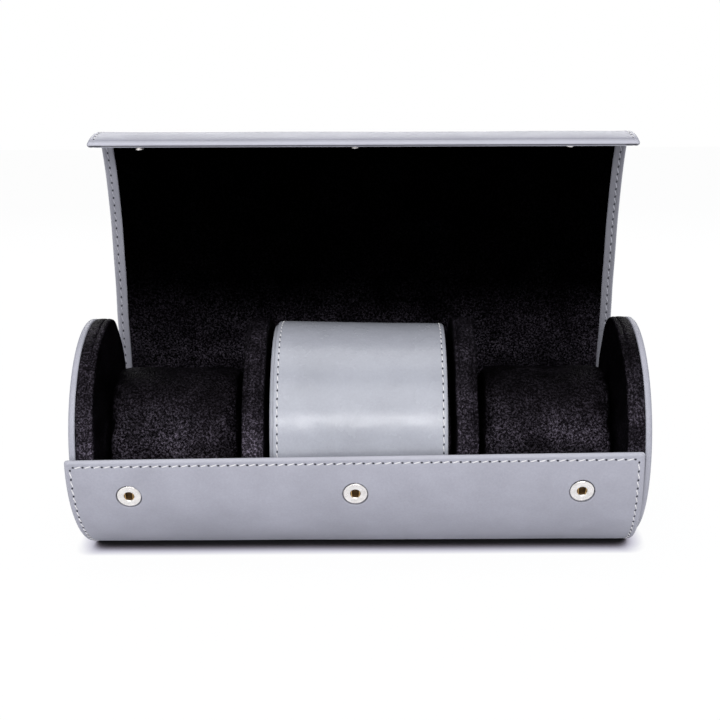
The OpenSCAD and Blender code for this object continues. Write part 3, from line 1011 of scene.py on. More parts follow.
@dataclass
class LeatherPanel:
    """The lined leather panel with its turned edges and its stitching."""

    finishes: Finishes
    width: float = 268.0
    thick: float = 3.2
    hem: float = 6.0
    tuck: float = 0.42
    stitch_in: float = 2.9
    corner: float = 1.3
    channel: float = 0.16
    groove: float = 0.55
    puff: float = 0.10
    front_bend: float = 9.0
    lid_bend: float = 0.88
    crease_bend: float = 5.0
    row_step: float = 1.5
    least_gap: float = 0.45
    corner_turn: float = 1.4
    seam_step: float = 0.5
    outer_rise: float = 0.20
    inner_rise: float = 0.08
    channel_width: float = 0.8
    groove_width: float = 0.5
    wave_in: float = 12
    rim_wear: float = 0.22
    end_wear: float = 0.5
    # Painted shade on the lid's inner borders, left and right, and along the closing groove; the
    # seams are dark joints.
    border_painted_shade: tuple[float, float] = (0.50, 0.80)
    joint_and_painted_shade_dark: float = 1.5
    groove_painted_shade: float = 0.75
    lining_gap: float = 0.12
    lining_n: float = 0.10
    lining_edge_n: float = 0.5
    lining_wave: float = 0.06
    lining_columns: int = 40
    socket_s: float = 18.4
    socket_pitch: float = 105.5
    edge_rows: tuple[float, ...] = (0.0, 0.1, 0.3, 0.6, 1.0, 1.6, 2.1, 2.5, 2.9, 3.3, 3.8, 4.6,
                                    5.4, 5.9, 6.3, 6.9)
    plain_columns: tuple[float, ...] = (15, 24, 34, 44, 54, 64, 74, 84, 92, 117, 122, 126)
    channel_columns: tuple[float, ...] = (-0.9, -0.45, 0.0, 0.45, 0.9)
    tucked_columns: tuple[float, ...] = (118, 100, 75, 50, 25, 0)
    well_grid: tuple[float, ...] = (-7.0, -5.6, -4.2, -2.8, -1.4, 0.0, 1.4, 2.8, 4.2, 5.6, 7.0)
    well_rings: tuple[tuple[float, float, float], ...] = (
        (6.75, 3.2, 0.0), (6.35, 3.18, 12), (6.12, 3.08, 40), (6.0, 2.85, 75), (5.98, 1.9, 90))
    line: PanelLine = field(default_factory=PanelLine)

    def __post_init__(self) -> None:
        """Works out the seam's place across the panel and the leather's outline."""
        self.line_x = self.width / 2 - self.stitch_in
        self.columns, self.depths = self._outline()

    def _outline(self) -> np.ndarray:
        """The leather's closed cross-section, from the middle of its outer face to the right.

        Returns:
            A row of places across the panel and a row of depths.
        """
        half, r = self.width / 2, self.thick / 2
        wells = [self.socket_pitch + d for d in self.well_grid]
        wells += [d for d in self.well_grid if d >= 0]
        seam = [self.line_x + d for d in self.channel_columns]
        right = [(x, self.thick) for x in sorted([*self.plain_columns, *seam, half - r, *wells])]
        rim = [(half - r + r * math.cos(a), r + r * math.sin(a))
               for a in np.radians(np.linspace(75, -75, 9))]
        flat = [half - r, *reversed(seam), half - 5.2, half - self.hem + 0.15]
        inner = [(x, 0.0) for x in flat] + [(half - self.hem, 0.2)]
        inner += [(x, self.tuck + 0.1) for x in (half - self.hem - 0.2, *self.tucked_columns)]
        loop = right + rim + inner
        loop += [(-x, n) for x, n in reversed(loop[1:-1])]
        return np.array(loop, float).T.copy()

    def stretches(self) -> list[Stretch]:
        """Splits the panel in the middle between its folds.

        Returns:
            The stretches in order.
        """
        s = self.line.fold_at
        names = ["case", *(f"lid_{i}" for i in range(1, STRIPS + 1)), "closing_flap"]
        bottom = round(self.line.bottom, 3)
        found = [Stretch("front", "front_flap", "case", 0.0, bottom, s[0] - self.front_bend,
                         s[0] + self.front_bend, ("front_leather", "front_board", "front_lining"))]
        splits = [round((a + b) / 2, 3) for a, b in zip(s[1:], s[2:])]
        ends = [bottom, *splits, self.line.length]
        for i, (a, b, fold) in enumerate(zip(ends, ends[1:], s[1:])):
            low, high = fold - self.lid_bend * (fold - a), fold + self.lid_bend * (b - fold)
            nodes = (f"lid_leather_{i + 1}", f"lid_board_{i + 1}", f"lid_lining_{i + 1}")
            if i == 0:
                low = fold - self.front_bend
                nodes += ("base_leather", "base_board", "base_lining")
            if i == STRIPS:
                low, high = fold - self.crease_bend, fold + self.crease_bend
                nodes = ("closing_leather", "closing_board", "closing_lining")
            found.append(Stretch(f"fold_{i + 1}", names[i], names[i + 1], a, b, low, high, nodes))
        return found

    def build(self) -> list[Piece]:
        """Makes the leather, the lining and the stitches of each stretch.

        Returns:
            The pieces.
        """
        pieces = []
        rows = self._rows()
        leather, edge, normals = self._leather(rows)
        lining, lining_normals, lining_rows = self._lining(rows)
        for part in self.stretches():
            pick = self._within(rows, part)
            shell = self._shell(part, rows[pick], leather[pick], normals[pick], edge[pick])
            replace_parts(shell, *part.nodes)
            keep = self._within(lining_rows, part)
            cover = self._cover(part, lining[keep], lining_normals[keep])
            pieces += [shell, cover, *self._stitch(part)]
        return pieces

    @staticmethod
    def _within(rows: np.ndarray, part: Stretch) -> np.ndarray:
        """Which rows belong to a stretch."""
        return (rows >= part.start - ROW_SLACK) & (rows <= part.end + ROW_SLACK)

    def _rows(self) -> np.ndarray:
        """Distances of the rows, close together at both free edges and on every split.

        Returns:
            The distances in order.
        """
        length = self.line.length
        splits = [p.start for p in self.stretches()] + [length]
        wells = [self.socket_s + d for d in self.well_grid]
        needed = [*splits, *wells, *self.edge_rows, *(length - e for e in self.edge_rows)]
        rows = list(needed)
        for a, b in zip(splits, splits[1:]):
            rows += list(np.linspace(a, b, max(3, int(round((b - a) / self.row_step)) + 1)))
        rows = np.unique(np.round(rows, 3))
        fixed = {round(float(v), 3) for v in needed}
        keep = [rows[0]]
        for r in rows[1:]:
            if round(float(r), 3) in fixed or r - keep[-1] > self.least_gap:
                keep.append(r)
        return np.array(keep)

    def _half_width(self, s: np.ndarray) -> np.ndarray:
        """Half of the panel's width, less at the four rounded corners.

        Args:
            s: Distances along the panel.

        Returns:
            The half width at each distance.
        """
        e = np.minimum(s, self.line.length - s)
        c = np.clip(self.corner - e, 0, self.corner)
        return self.width / 2 - self.corner + np.sqrt(np.maximum(self.corner**2 - c**2, 0.0))

    def _leather(self, rows: np.ndarray) -> tuple[np.ndarray, np.ndarray, np.ndarray]:
        """The leather as a closed band with rounded edges and a hollow for the lining.

        Args:
            rows: Distances of the rows along the panel.

        Returns:
            Points, edge wear with painted shade, and normals, each by row and column.
        """
        s, x0, n0 = rows[:, None], self.columns[None, :], self.depths[None, :]
        x = x0 * (self._half_width(s) / (self.width / 2))
        points = self.line.place(np.broadcast_to(s, x.shape), x, self._relief(s, x0, n0))
        along = np.gradient(points, axis=0)
        around = np.roll(points, -1, axis=1) - np.roll(points, 1, axis=1)
        normals = np.cross(along, around)
        length = np.linalg.norm(normals, axis=2, keepdims=True)
        normals = normals / np.where(length < 1e-9, 1, length)
        flat = length[..., 0] < 1e-6
        normals[flat] = self.line.outward(np.broadcast_to(s, x.shape))[flat]
        return points, self._wear_and_painted_shade(s, x0, n0), normals

    def _relief(self, s: np.ndarray, x0: np.ndarray, n0: np.ndarray) -> np.ndarray:
        """Depth of the leather, with stitch channels, round ends and soft waves.

        Args:
            s: Distances of the rows.
            x0: Places of the columns.
            n0: Depths of the plain outline.

        Returns:
            The depths by row and column.
        """
        half, r, side = self.width / 2, self.thick / 2, np.abs(x0)
        e = np.minimum(s, self.line.length - s)
        under = (n0 < r) & (side < half - self.hem + 0.1)
        lift = np.clip((e - (self.hem - 0.15)) / 0.3, 0, 1)
        n = np.where(under, n0 * lift, n0)
        gap = np.minimum(np.abs(side - self.line_x), np.abs(e - self.stitch_in))
        sink = self.channel * np.exp(-((gap / self.channel_width) ** 2) * 1.6)
        hemmed = (side > half - self.hem) | (e < self.hem)
        n = np.where(n > r, n - sink, np.where(hemmed, n + sink, n))
        across = (self.line.length - s - self.stitch_in) / self.groove_width
        lip = self.groove * np.exp(-(across**2))
        n = n - np.where(n > r, lip, 0)
        c = np.clip(r - e, 0, r)
        n = r + (n - r) * (np.sqrt(np.maximum(r**2 - c**2, 0.0)) / r)
        puff = self.puff * np.sin(s * 0.21 + 1.3 * np.sin(x0 * 0.05))
        calm = np.clip(e / self.wave_in, 0, 1) * np.clip((half - side) / self.wave_in, 0, 1)
        return n + np.where(n > r, puff * calm, 0)

    def _wear_and_painted_shade(self, s: np.ndarray, x0: np.ndarray, n0: np.ndarray) -> np.ndarray:
        """Wear along the edges, painted shade on the lid's inner borders and along the closing
        groove, and dark seams.

        Args:
            s: Distances of the rows.
            x0: Places of the columns.
            n0: Depths of the plain outline.

        Returns:
            The wear by row and column.
        """
        half, r, side = self.width / 2, self.thick / 2, np.abs(x0)
        e = np.minimum(s, self.line.length - s)
        rim = self.rim_wear * np.clip((side - (half - 1.7)) / 1.4, 0, 1)
        end = self.end_wear * np.clip((1.5 - e) / 1.3, 0, 1)
        # Painted shade: the lid's inner borders are painted darker, the right one more, for the
        # shade that falls on them.
        border = (side > half - self.hem - 0.3) & (n0 < 0.3) & (s > self.line.heel_at)
        left, right = self.border_painted_shade
        wear = np.maximum(rim, end) - np.where(x0 > 0, right, left) * border
        rim_seam = (side > half - 0.45) & (n0 < r - 0.1) & (n0 > r - 0.8)
        end_seam = (e < 0.15) & (n0 < r + 0.1)
        # Painted shade along the closing groove, on top of the dark rim and end seams.
        lip = np.exp(-(((self.line.length - s - self.stitch_in) / 0.32) ** 2)) * (n0 > r)
        return wear - self.joint_and_painted_shade_dark * np.maximum(rim_seam | end_seam, self.groove_painted_shade * lip)

    def _lining(self, rows: np.ndarray) -> tuple[np.ndarray, np.ndarray, np.ndarray]:
        """The suede sheet inside the turned edges.

        Args:
            rows: Distances of the rows along the panel.

        Returns:
            Points and normals by row and column, and the rows that it has.
        """
        low, high = self.hem + 0.1, self.line.length - self.hem - 0.1
        inner = rows[(rows > low + 0.2) & (rows < high - 0.2)]
        gap = self.lining_gap
        inner = np.concatenate([[low, low + gap], inner, [high - gap, high]])
        edge = self.width / 2 - self.hem - gap
        x0 = np.array([-edge, -edge + gap, -edge + 0.6,
                       *np.linspace(-edge + 4, edge - 4, self.lining_columns),
                       edge - 0.6, edge - gap, edge])
        n = np.full((len(inner), len(x0)), self.lining_n)
        n[:, [0, -1]] = n[[0, -1], :] = self.lining_edge_n
        s = np.broadcast_to(inner[:, None], n.shape)
        n = n + self.lining_wave * np.sin(s * 0.31) * np.sin(x0[None, :] * 0.09 + s * 0.05)
        points = self.line.place(s, np.broadcast_to(x0, n.shape), n)
        normals = np.cross(np.gradient(points, axis=0), np.gradient(points, axis=1))
        normals /= np.linalg.norm(normals, axis=2, keepdims=True)
        inward = np.sum(normals * -self.line.outward(s), axis=2, keepdims=True)
        normals *= np.where(inward < 0, -1, 1)
        return points, normals, inner

    def _shell(self, part: Stretch, rows: np.ndarray, grid: np.ndarray, normals: np.ndarray,
               edge: np.ndarray) -> Piece:
        """Makes one stretch of the leather, with round wells where the sockets sit.

        Args:
            part: The stretch.
            rows: Distances of its rows.
            grid: Points by row and column.
            normals: Normals by row and column.
            edge: Edge wear and painted shade by row and column.

        Returns:
            The piece.
        """
        cols = grid.shape[1]
        faces = grid_faces(len(rows), cols, True, True)
        points, turns, wear = [grid.reshape(-1, 3)], [normals.reshape(-1, 3)], [edge.ravel()]
        total = len(points[0])
        for place in (-1, 0, 1) if part.name == "front" else ():
            x = place * self.socket_pitch
            loop = self._well_loop(rows, x)
            inside = {r * cols + c for r in sorted({r for r, _ in loop})
                      for c in sorted({c for _, c in loop})}
            faces = [f for f in faces if not all(v in inside for v in f)]
            ring = [r * cols + c for r, c in loop]
            turn = np.array([math.atan2(rows[r] - self.socket_s, self.columns[c] - x)
                             for r, c in loop])
            for radius, depth, dip in self.well_rings:
                s = self.socket_s + radius * np.sin(turn)
                across = x + radius * np.cos(turn)
                spot = self.line.place(s, across, depth)
                inward = self.line.place(self.socket_s + 0 * s, x + 0 * s, depth) - spot
                inward /= np.linalg.norm(inward, axis=1)[:, None]
                a = math.radians(dip)
                points.append(spot)
                turns.append(math.cos(a) * self.line.outward(s) + math.sin(a) * inward)
                # Painted shade: the steep wall of each socket's well is painted darker.
                wear.append(np.full(len(s), -0.5 if dip > 60 else 0.0))
                fresh = list(range(total, total + len(s)))
                total += len(s)
                pairs = zip(ring, ring[1:] + ring[:1], fresh, fresh[1:] + fresh[:1])
                faces += [[a, c, d, b] for a, b, c, d in pairs]
                ring = fresh
        piece = new_piece(f"panel_leather_{part.name}", np.vstack(points), faces,
                          self.finishes.panel, np.vstack(turns))
        paint(piece, "edge", np.concatenate(wear))
        return self._bend(piece, part)

    def _well_loop(self, rows: np.ndarray, x: float) -> list[tuple[int, int]]:
        """The grid's square loop of points round one well, on the outer face.

        Args:
            rows: Distances of the rows.
            x: The well's place across the panel.

        Returns:
            Row and column numbers in order.
        """
        reach = self.well_grid[-1] + 0.01
        near = [c for c in range(len(self.columns)) if self.depths[c] > self.thick - 0.01
                and abs(self.columns[c] - x) < reach]
        cols = sorted(near, key=lambda c: self.columns[c])
        down = [r for r in range(len(rows)) if abs(rows[r] - self.socket_s) < reach]
        loop = [(down[0], c) for c in cols] + [(r, cols[-1]) for r in down[1:]]
        return loop + [(down[-1], c) for c in cols[-2::-1]] + [(r, cols[0]) for r in down[-2:0:-1]]

    def _cover(self, part: Stretch, grid: np.ndarray, normals: np.ndarray) -> Piece:
        """Makes one stretch of the suede lining.

        Args:
            part: The stretch.
            grid: Points by row and column.
            normals: Normals by row and column.

        Returns:
            The piece.
        """
        piece = new_piece(f"panel_lining_{part.name}", grid.reshape(-1, 3),
                          grid_faces(*grid.shape[:2], False), self.finishes.lining,
                          normals.reshape(-1, 3))
        return self._bend(piece, part)

    def _bend(self, piece: Piece, part: Stretch) -> Piece:
        """Bakes the piece's transform; the ends of its bend are worked out but not used."""
        ends = self.line.place(np.array([part.bend_from, part.bend_to]), 0.0, 0.0) * MM
        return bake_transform(piece)

    def _stitch(self, part: Stretch) -> list[Piece]:
        """Sews the stitches of one stretch, on both faces.

        The row along the closing edge lies deep in the groove of the outer face.

        Args:
            part: The stretch.

        Returns:
            The pieces.
        """
        first, last = part.start < 1e-6, part.end > self.line.length - 1e-6
        low = self.stitch_in if first else part.start
        high = self.line.length - self.stitch_in if last else part.end
        turn = self.corner_turn
        s = np.arange(low + (turn if first else 0), high - (turn if last else 0) + 0.01,
                      self.seam_step)
        reach = self.line_x - turn
        across = np.arange(-reach, reach + 0.01, self.seam_step)
        threads, inner, holes, sunk = [], [], [], []
        for face, depth, rise in ((1, self.thick - self.channel, self.outer_rise),
                                  (-1, self.channel * 0.8, self.inner_rise)):
            sew, plain = SaddleStitch(rise=rise), threads if face > 0 else inner
            rows = [(s, np.full(len(s), side * self.line_x), depth, plain) for side in (-1, 1)]
            if first:
                rows.append((np.full(len(across), low), across, depth, plain))
            if last:
                rows.append((np.full(len(across), high), across,
                             *((depth - self.groove, sunk) if face > 0 else (depth, plain))))
            for at, x, level, kept in rows:
                more = sew.along(self.line.place(at, x, level), face * self.line.outward(at))
                kept += more[0]
                holes += more[1]
        pieces = []
        # The inner and the sunk stitches take threads painted darker, as painted shade.
        for name, parts, material in (("stitches", threads, self.finishes.thread),
                                      ("holes", holes, self.finishes.hole),
                                      ("inner_stitches", inner, self.finishes.painted_shade_thread),
                                      ("sunk_stitches", sunk, self.finishes.groove_shade_thread)):
            if parts:
                piece = joined_piece(f"panel_{name}_{part.name}", parts, material)
                pieces.append(self._bend(piece, part))
        return pieces


# ---- Padded discs -----------------------------------------------------------


@dataclass
class EndCap:
    """A round end: a domed leather cover outside and a suede pad inside."""

    side: Side
    finishes: Finishes
    radius: float = 53.6
    seam_x: float = 131.8
    pad_x: float = 123.5
    thinned: float = 3.0
    thin_by: float = 45
    wear: float = 0.12

    def build(self) -> list[Piece]:
        """Makes the pad and the cover."""
        return [self._pad(), self._cover()]

    def _pad(self) -> Piece:
        """The suede pad, with a seam round its rim.

        Returns:
            The piece.
        """
        r, word = self.radius, self.side.word
        pad = np.vstack([
            [[0.0, 0.01], [-0.35, 12], [-0.35, 26], [-0.2, 38], [0.1, 45]],
            arc((1.6, r - 1.7), 1.6, 180, 100, 8),
            [[2.3, r + 0.05], [2.8, r], [3.2, r - 0.95], [3.6, r], [4.6, r + 0.15],
             [6.2, r + 0.12], [7.6, r - 0.02], [8.2, r - 0.5], [8.3, r - 1.0]],
        ])
        pad[:, 0] = self.side.value * (self.pad_x + pad[:, 0])
        piece = turned_form(f"{word}_end_pad", pad, (0, 0, AXIS_Z), (1, 0, 0),
                            self.finishes.disc, DISC_STEPS, self._settled)
        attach(piece, "case")
        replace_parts(piece, f"{word}_cap_suede")
        return piece

    def _cover(self) -> Piece:
        """The leather cover, with a rounded and slightly worn edge.

        Returns:
            The piece.
        """
        r, word = self.radius, self.side.word
        cover = np.vstack([
            [[0.0, r - 1.1], [0.05, r - 0.45], [0.35, r - 0.05], [0.9, r + 0.02], [1.6, r]],
            arc((1.7, r - 1.5), 1.5, 90, 8, 9),
            [[3.55, r - 4.0], [3.75, r - 9], [4.0, 34], [4.15, 22], [4.2, 10], [4.2, 0.01]],
        ])
        cover[:, 0] = self.side.value * (self.seam_x + cover[:, 0])
        piece = turned_form(f"{word}_end_cover", cover, (0, 0, AXIS_Z), (1, 0, 0),
                            self.finishes.panel, DISC_STEPS, press_flat)
        radial = np.array([math.hypot(v.co.y, v.co.z - AXIS_Z * MM)
                           for v in piece.data.vertices]) / MM
        paint(piece, "edge", self.wear * np.clip((radial - (r - 1.4)) / 1.2, 0, 1))
        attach(piece, "case")
        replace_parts(piece, f"{word}_cap_leather", f"{word}_cap_board")
        return piece

    def _settled(self, points: np.ndarray) -> np.ndarray:
        """Makes the pad's rim uneven, thins it towards the back and presses it flat below.

        Args:
            points: The pad's points.

        Returns:
            The changed points.
        """
        points = uneven_rim(points, ((0.22, 5, self.side.value), (0.12, 11, 0)))
        deep = self.seam_x - self.pad_x
        soft = np.clip((self.seam_x - np.abs(points[:, 0])) / deep, 0, 1)
        back = np.clip(points[:, 1] / self.thin_by, 0, 1)
        points[:, 0] += self.side.value * self.thinned * soft * back * back * (3 - 2 * back)
        return press_flat(points)


@dataclass
class Divider:
    """A padded suede disc with a seam round each rim."""

    side: Side
    finishes: Finishes
    radius: float = 53.6
    middle: float = 49.7
    thick: float = 10.5

    def build(self) -> list[Piece]:
        """Makes the disc.

        Returns:
            The piece, in a list.
        """
        r, h, word = self.radius, self.thick / 2, self.side.word
        profile = mirrored(np.vstack([
            [[-h + 0.2, 0.01], [-h - 0.1, 14], [-h - 0.15, 28], [-h, 40], [-h + 0.15, 47]],
            arc((-h + 1.55, r - 1.75), 1.55, 180, 98, 8),
            [[-h + 1.8, r], [-h + 2.2, r - 1.0], [-h + 2.6, r], [-h + 3.4, r + 0.15],
             [-0.8, r + 0.2]],
        ]))
        profile[:, 0] += self.side.value * self.middle
        piece = turned_form(f"{word}_divider", profile, (0, 0, AXIS_Z), (1, 0, 0),
                            self.finishes.disc, DISC_STEPS, self._settled)
        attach(piece, "case")
        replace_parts(piece, f"{word}_divider_suede", f"{word}_divider_board")
        return [piece]

    def _settled(self, points: np.ndarray) -> np.ndarray:
        """Makes the rim uneven and presses the underside flat."""
        return press_flat(uneven_rim(points, ((0.2, 4, 2 * self.side.value), (0.12, 9, 0))))


# ---- Cushions ---------------------------------------------------------------


@dataclass
class ClothPuff:
    """Swells a closed form with air, as a stuffed cover does, and stops it at a limit.

    The voxel and the limit are in metres.
    """

    voxel: float = 0.004
    pressure: float = 3.0
    frames: int = 18
    limit: float = 0.0022
    quality: int = 5
    tension: float = 12
    mass: float = 0.3

    def apply(self, piece: Piece) -> None:
        """Remeshes a piece, swells it and keeps the result as its mesh.

        Args:
            piece: The closed form.
        """
        scene = bpy.context.scene
        bpy.context.view_layer.objects.active = piece
        remesh = piece.modifiers.new("even", "REMESH")
        remesh.mode = "VOXEL"
        remesh.voxel_size = self.voxel
        self._keep(piece)
        start = np.array([v.co for v in piece.data.vertices])
        cloth = piece.modifiers.new("cloth", "CLOTH")
        cloth.settings.use_pressure = True
        cloth.settings.uniform_pressure_force = self.pressure
        cloth.settings.effector_weights.gravity = 0.0
        cloth.settings.quality = self.quality
        cloth.settings.tension_stiffness = self.tension
        cloth.settings.mass = self.mass
        cloth.point_cache.frame_end = self.frames
        for number in range(1, self.frames + 1):
            scene.frame_set(number)
        self._keep(piece)
        scene.frame_set(1)
        move = np.array([v.co for v in piece.data.vertices]) - start
        far = np.linalg.norm(move, axis=1, keepdims=True)
        swollen = start + move * np.minimum(1.0, self.limit / np.maximum(far, 1e-9))
        piece.data.vertices.foreach_set("co", swollen.ravel())
        piece.data.update()

    @staticmethod
    def _keep(piece: Piece) -> None:
        """Makes the result of a piece's modifiers its mesh.

        Args:
            piece: The piece.
        """
        graph = bpy.context.evaluated_depsgraph_get()
        mesh = bpy.data.meshes.new_from_object(piece.evaluated_get(graph))
        materials = list(piece.data.materials)
        piece.modifiers.clear()
        piece.data = mesh
        mesh.materials.clear()
        for material in materials:
            mesh.materials.append(material)
        mesh.polygons.foreach_set("use_smooth", [True] * len(mesh.polygons))


@dataclass
class SideCushion:
    """A black suede cushion that a watch closes round."""

    side: Side
    finishes: Finishes
    middle: float = 90.2
    half_width: float = 32.1
    half_depth: float = 31.9
    half_height: float = 41.9
    most_height: float = 42.0
    centre_z: float = -10.9
    drawn_in: float = 0.04
    swell_room: float = 1.6
    squareness: float = 2.35
    rings: int = 25
    steps: int = 72
    seam_in: float = 3.4
    seam_pull: float = 0.7
    seam_width: float = 0.9
    calm_end: float = 30
    settled: float = 0.3
    waves: tuple[tuple[float, int, float], ...] = ((0.22, 3, 0.11), (0.16, 7, -0.17))

    def __post_init__(self) -> None:
        """Works out the cushion's middle."""
        self.centre = np.array([self.side.value * self.middle, 0, self.centre_z + AXIS_Z])

    def build(self) -> list[Piece]:
        """Makes, swells and sews the cushion.

        Returns:
            The piece, in a list.
        """
        word = self.side.word
        piece = self._form()
        ClothPuff().apply(piece)
        self._sew(piece)
        smooth = piece.modifiers.new("smooth", "SUBSURF")
        smooth.levels = smooth.render_levels = 1
        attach(piece, f"cushion_{word}")
        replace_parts(piece, f"{word}_cushion_cover", f"{word}_cushion_foam")
        return [piece]

    def _form(self) -> Piece:
        """The stuffed cover before it swells, a little smaller than its space.

        Returns:
            The closed form.
        """
        shrink = self.swell_room
        wide, deep, high = (v - shrink for v in (self.half_width, self.half_depth,
                                                 self.half_height))
        t = np.sin(np.linspace(-math.pi / 2, math.pi / 2, self.rings))
        turn = np.linspace(0, 2 * math.pi, self.steps, endpoint=False)
        power = 2 / self.squareness
        oval = np.stack([np.sign(c) * np.abs(c) ** power for c in (np.cos(turn), np.sin(turn))],
                        axis=1)
        share = 1 - self.drawn_in * (1 - (1 - np.abs(t) ** 12) ** 0.45)
        rows = [np.stack([np.full(self.steps, place * wide), size * deep * oval[:, 0],
                          size * high * oval[:, 1]], axis=1) for place, size in zip(t, share)]
        points = np.vstack([*rows, [[-wide, 0, 0], [wide, 0, 0]]]) + self.centre
        n, last = self.steps, self.rings * self.steps
        faces = grid_faces(self.rings, n, True, True)
        faces += [[last, k, (k + 1) % n] for k in range(n)]
        faces += [[last + 1, last - n + (k + 1) % n, last - n + k] for k in range(n)]
        return new_piece(f"{self.side.word}_cushion", points, faces, self.finishes.cushion)

    def _sew(self, piece: Piece) -> None:
        """Draws a seam in near each end, and keeps the cover within its space.

        Args:
            piece: The swollen cover.
        """
        p = np.array([v.co for v in piece.data.vertices]) / MM - self.centre
        seam = self.half_width - self.seam_in
        pull = self.seam_pull * np.exp(-(((np.abs(p[:, 0]) - seam) / self.seam_width) ** 2))
        radius = np.maximum(np.hypot(p[:, 1], p[:, 2]), 1e-6)
        p[:, 1:] *= (1 - pull / radius)[:, None]
        a = np.arctan2(p[:, 2], p[:, 1])
        body = np.clip(1 - np.abs(p[:, 0]) / self.calm_end, 0, 1)
        wave = sum(high * np.sin(count * a + slope * p[:, 0] + number * self.side.value)
                   for number, (high, count, slope) in enumerate(self.waves))
        p[:, 1:] *= (1 + body * (wave - self.settled) / radius)[:, None]
        most = np.array([self.half_width, self.half_depth + 0.3, self.most_height])
        p = np.clip(p, -most, most)
        piece.data.vertices.foreach_set("co", ((p + self.centre) * MM).ravel())
        piece.data.update()


@dataclass(frozen=True)
class WrapSizes:
    """Where one wrap of the centre cushion lies and how it rounds over at its edges."""

    name: str
    node: str
    low: float
    high: float
    inner: float
    round_over: float
    drop: float


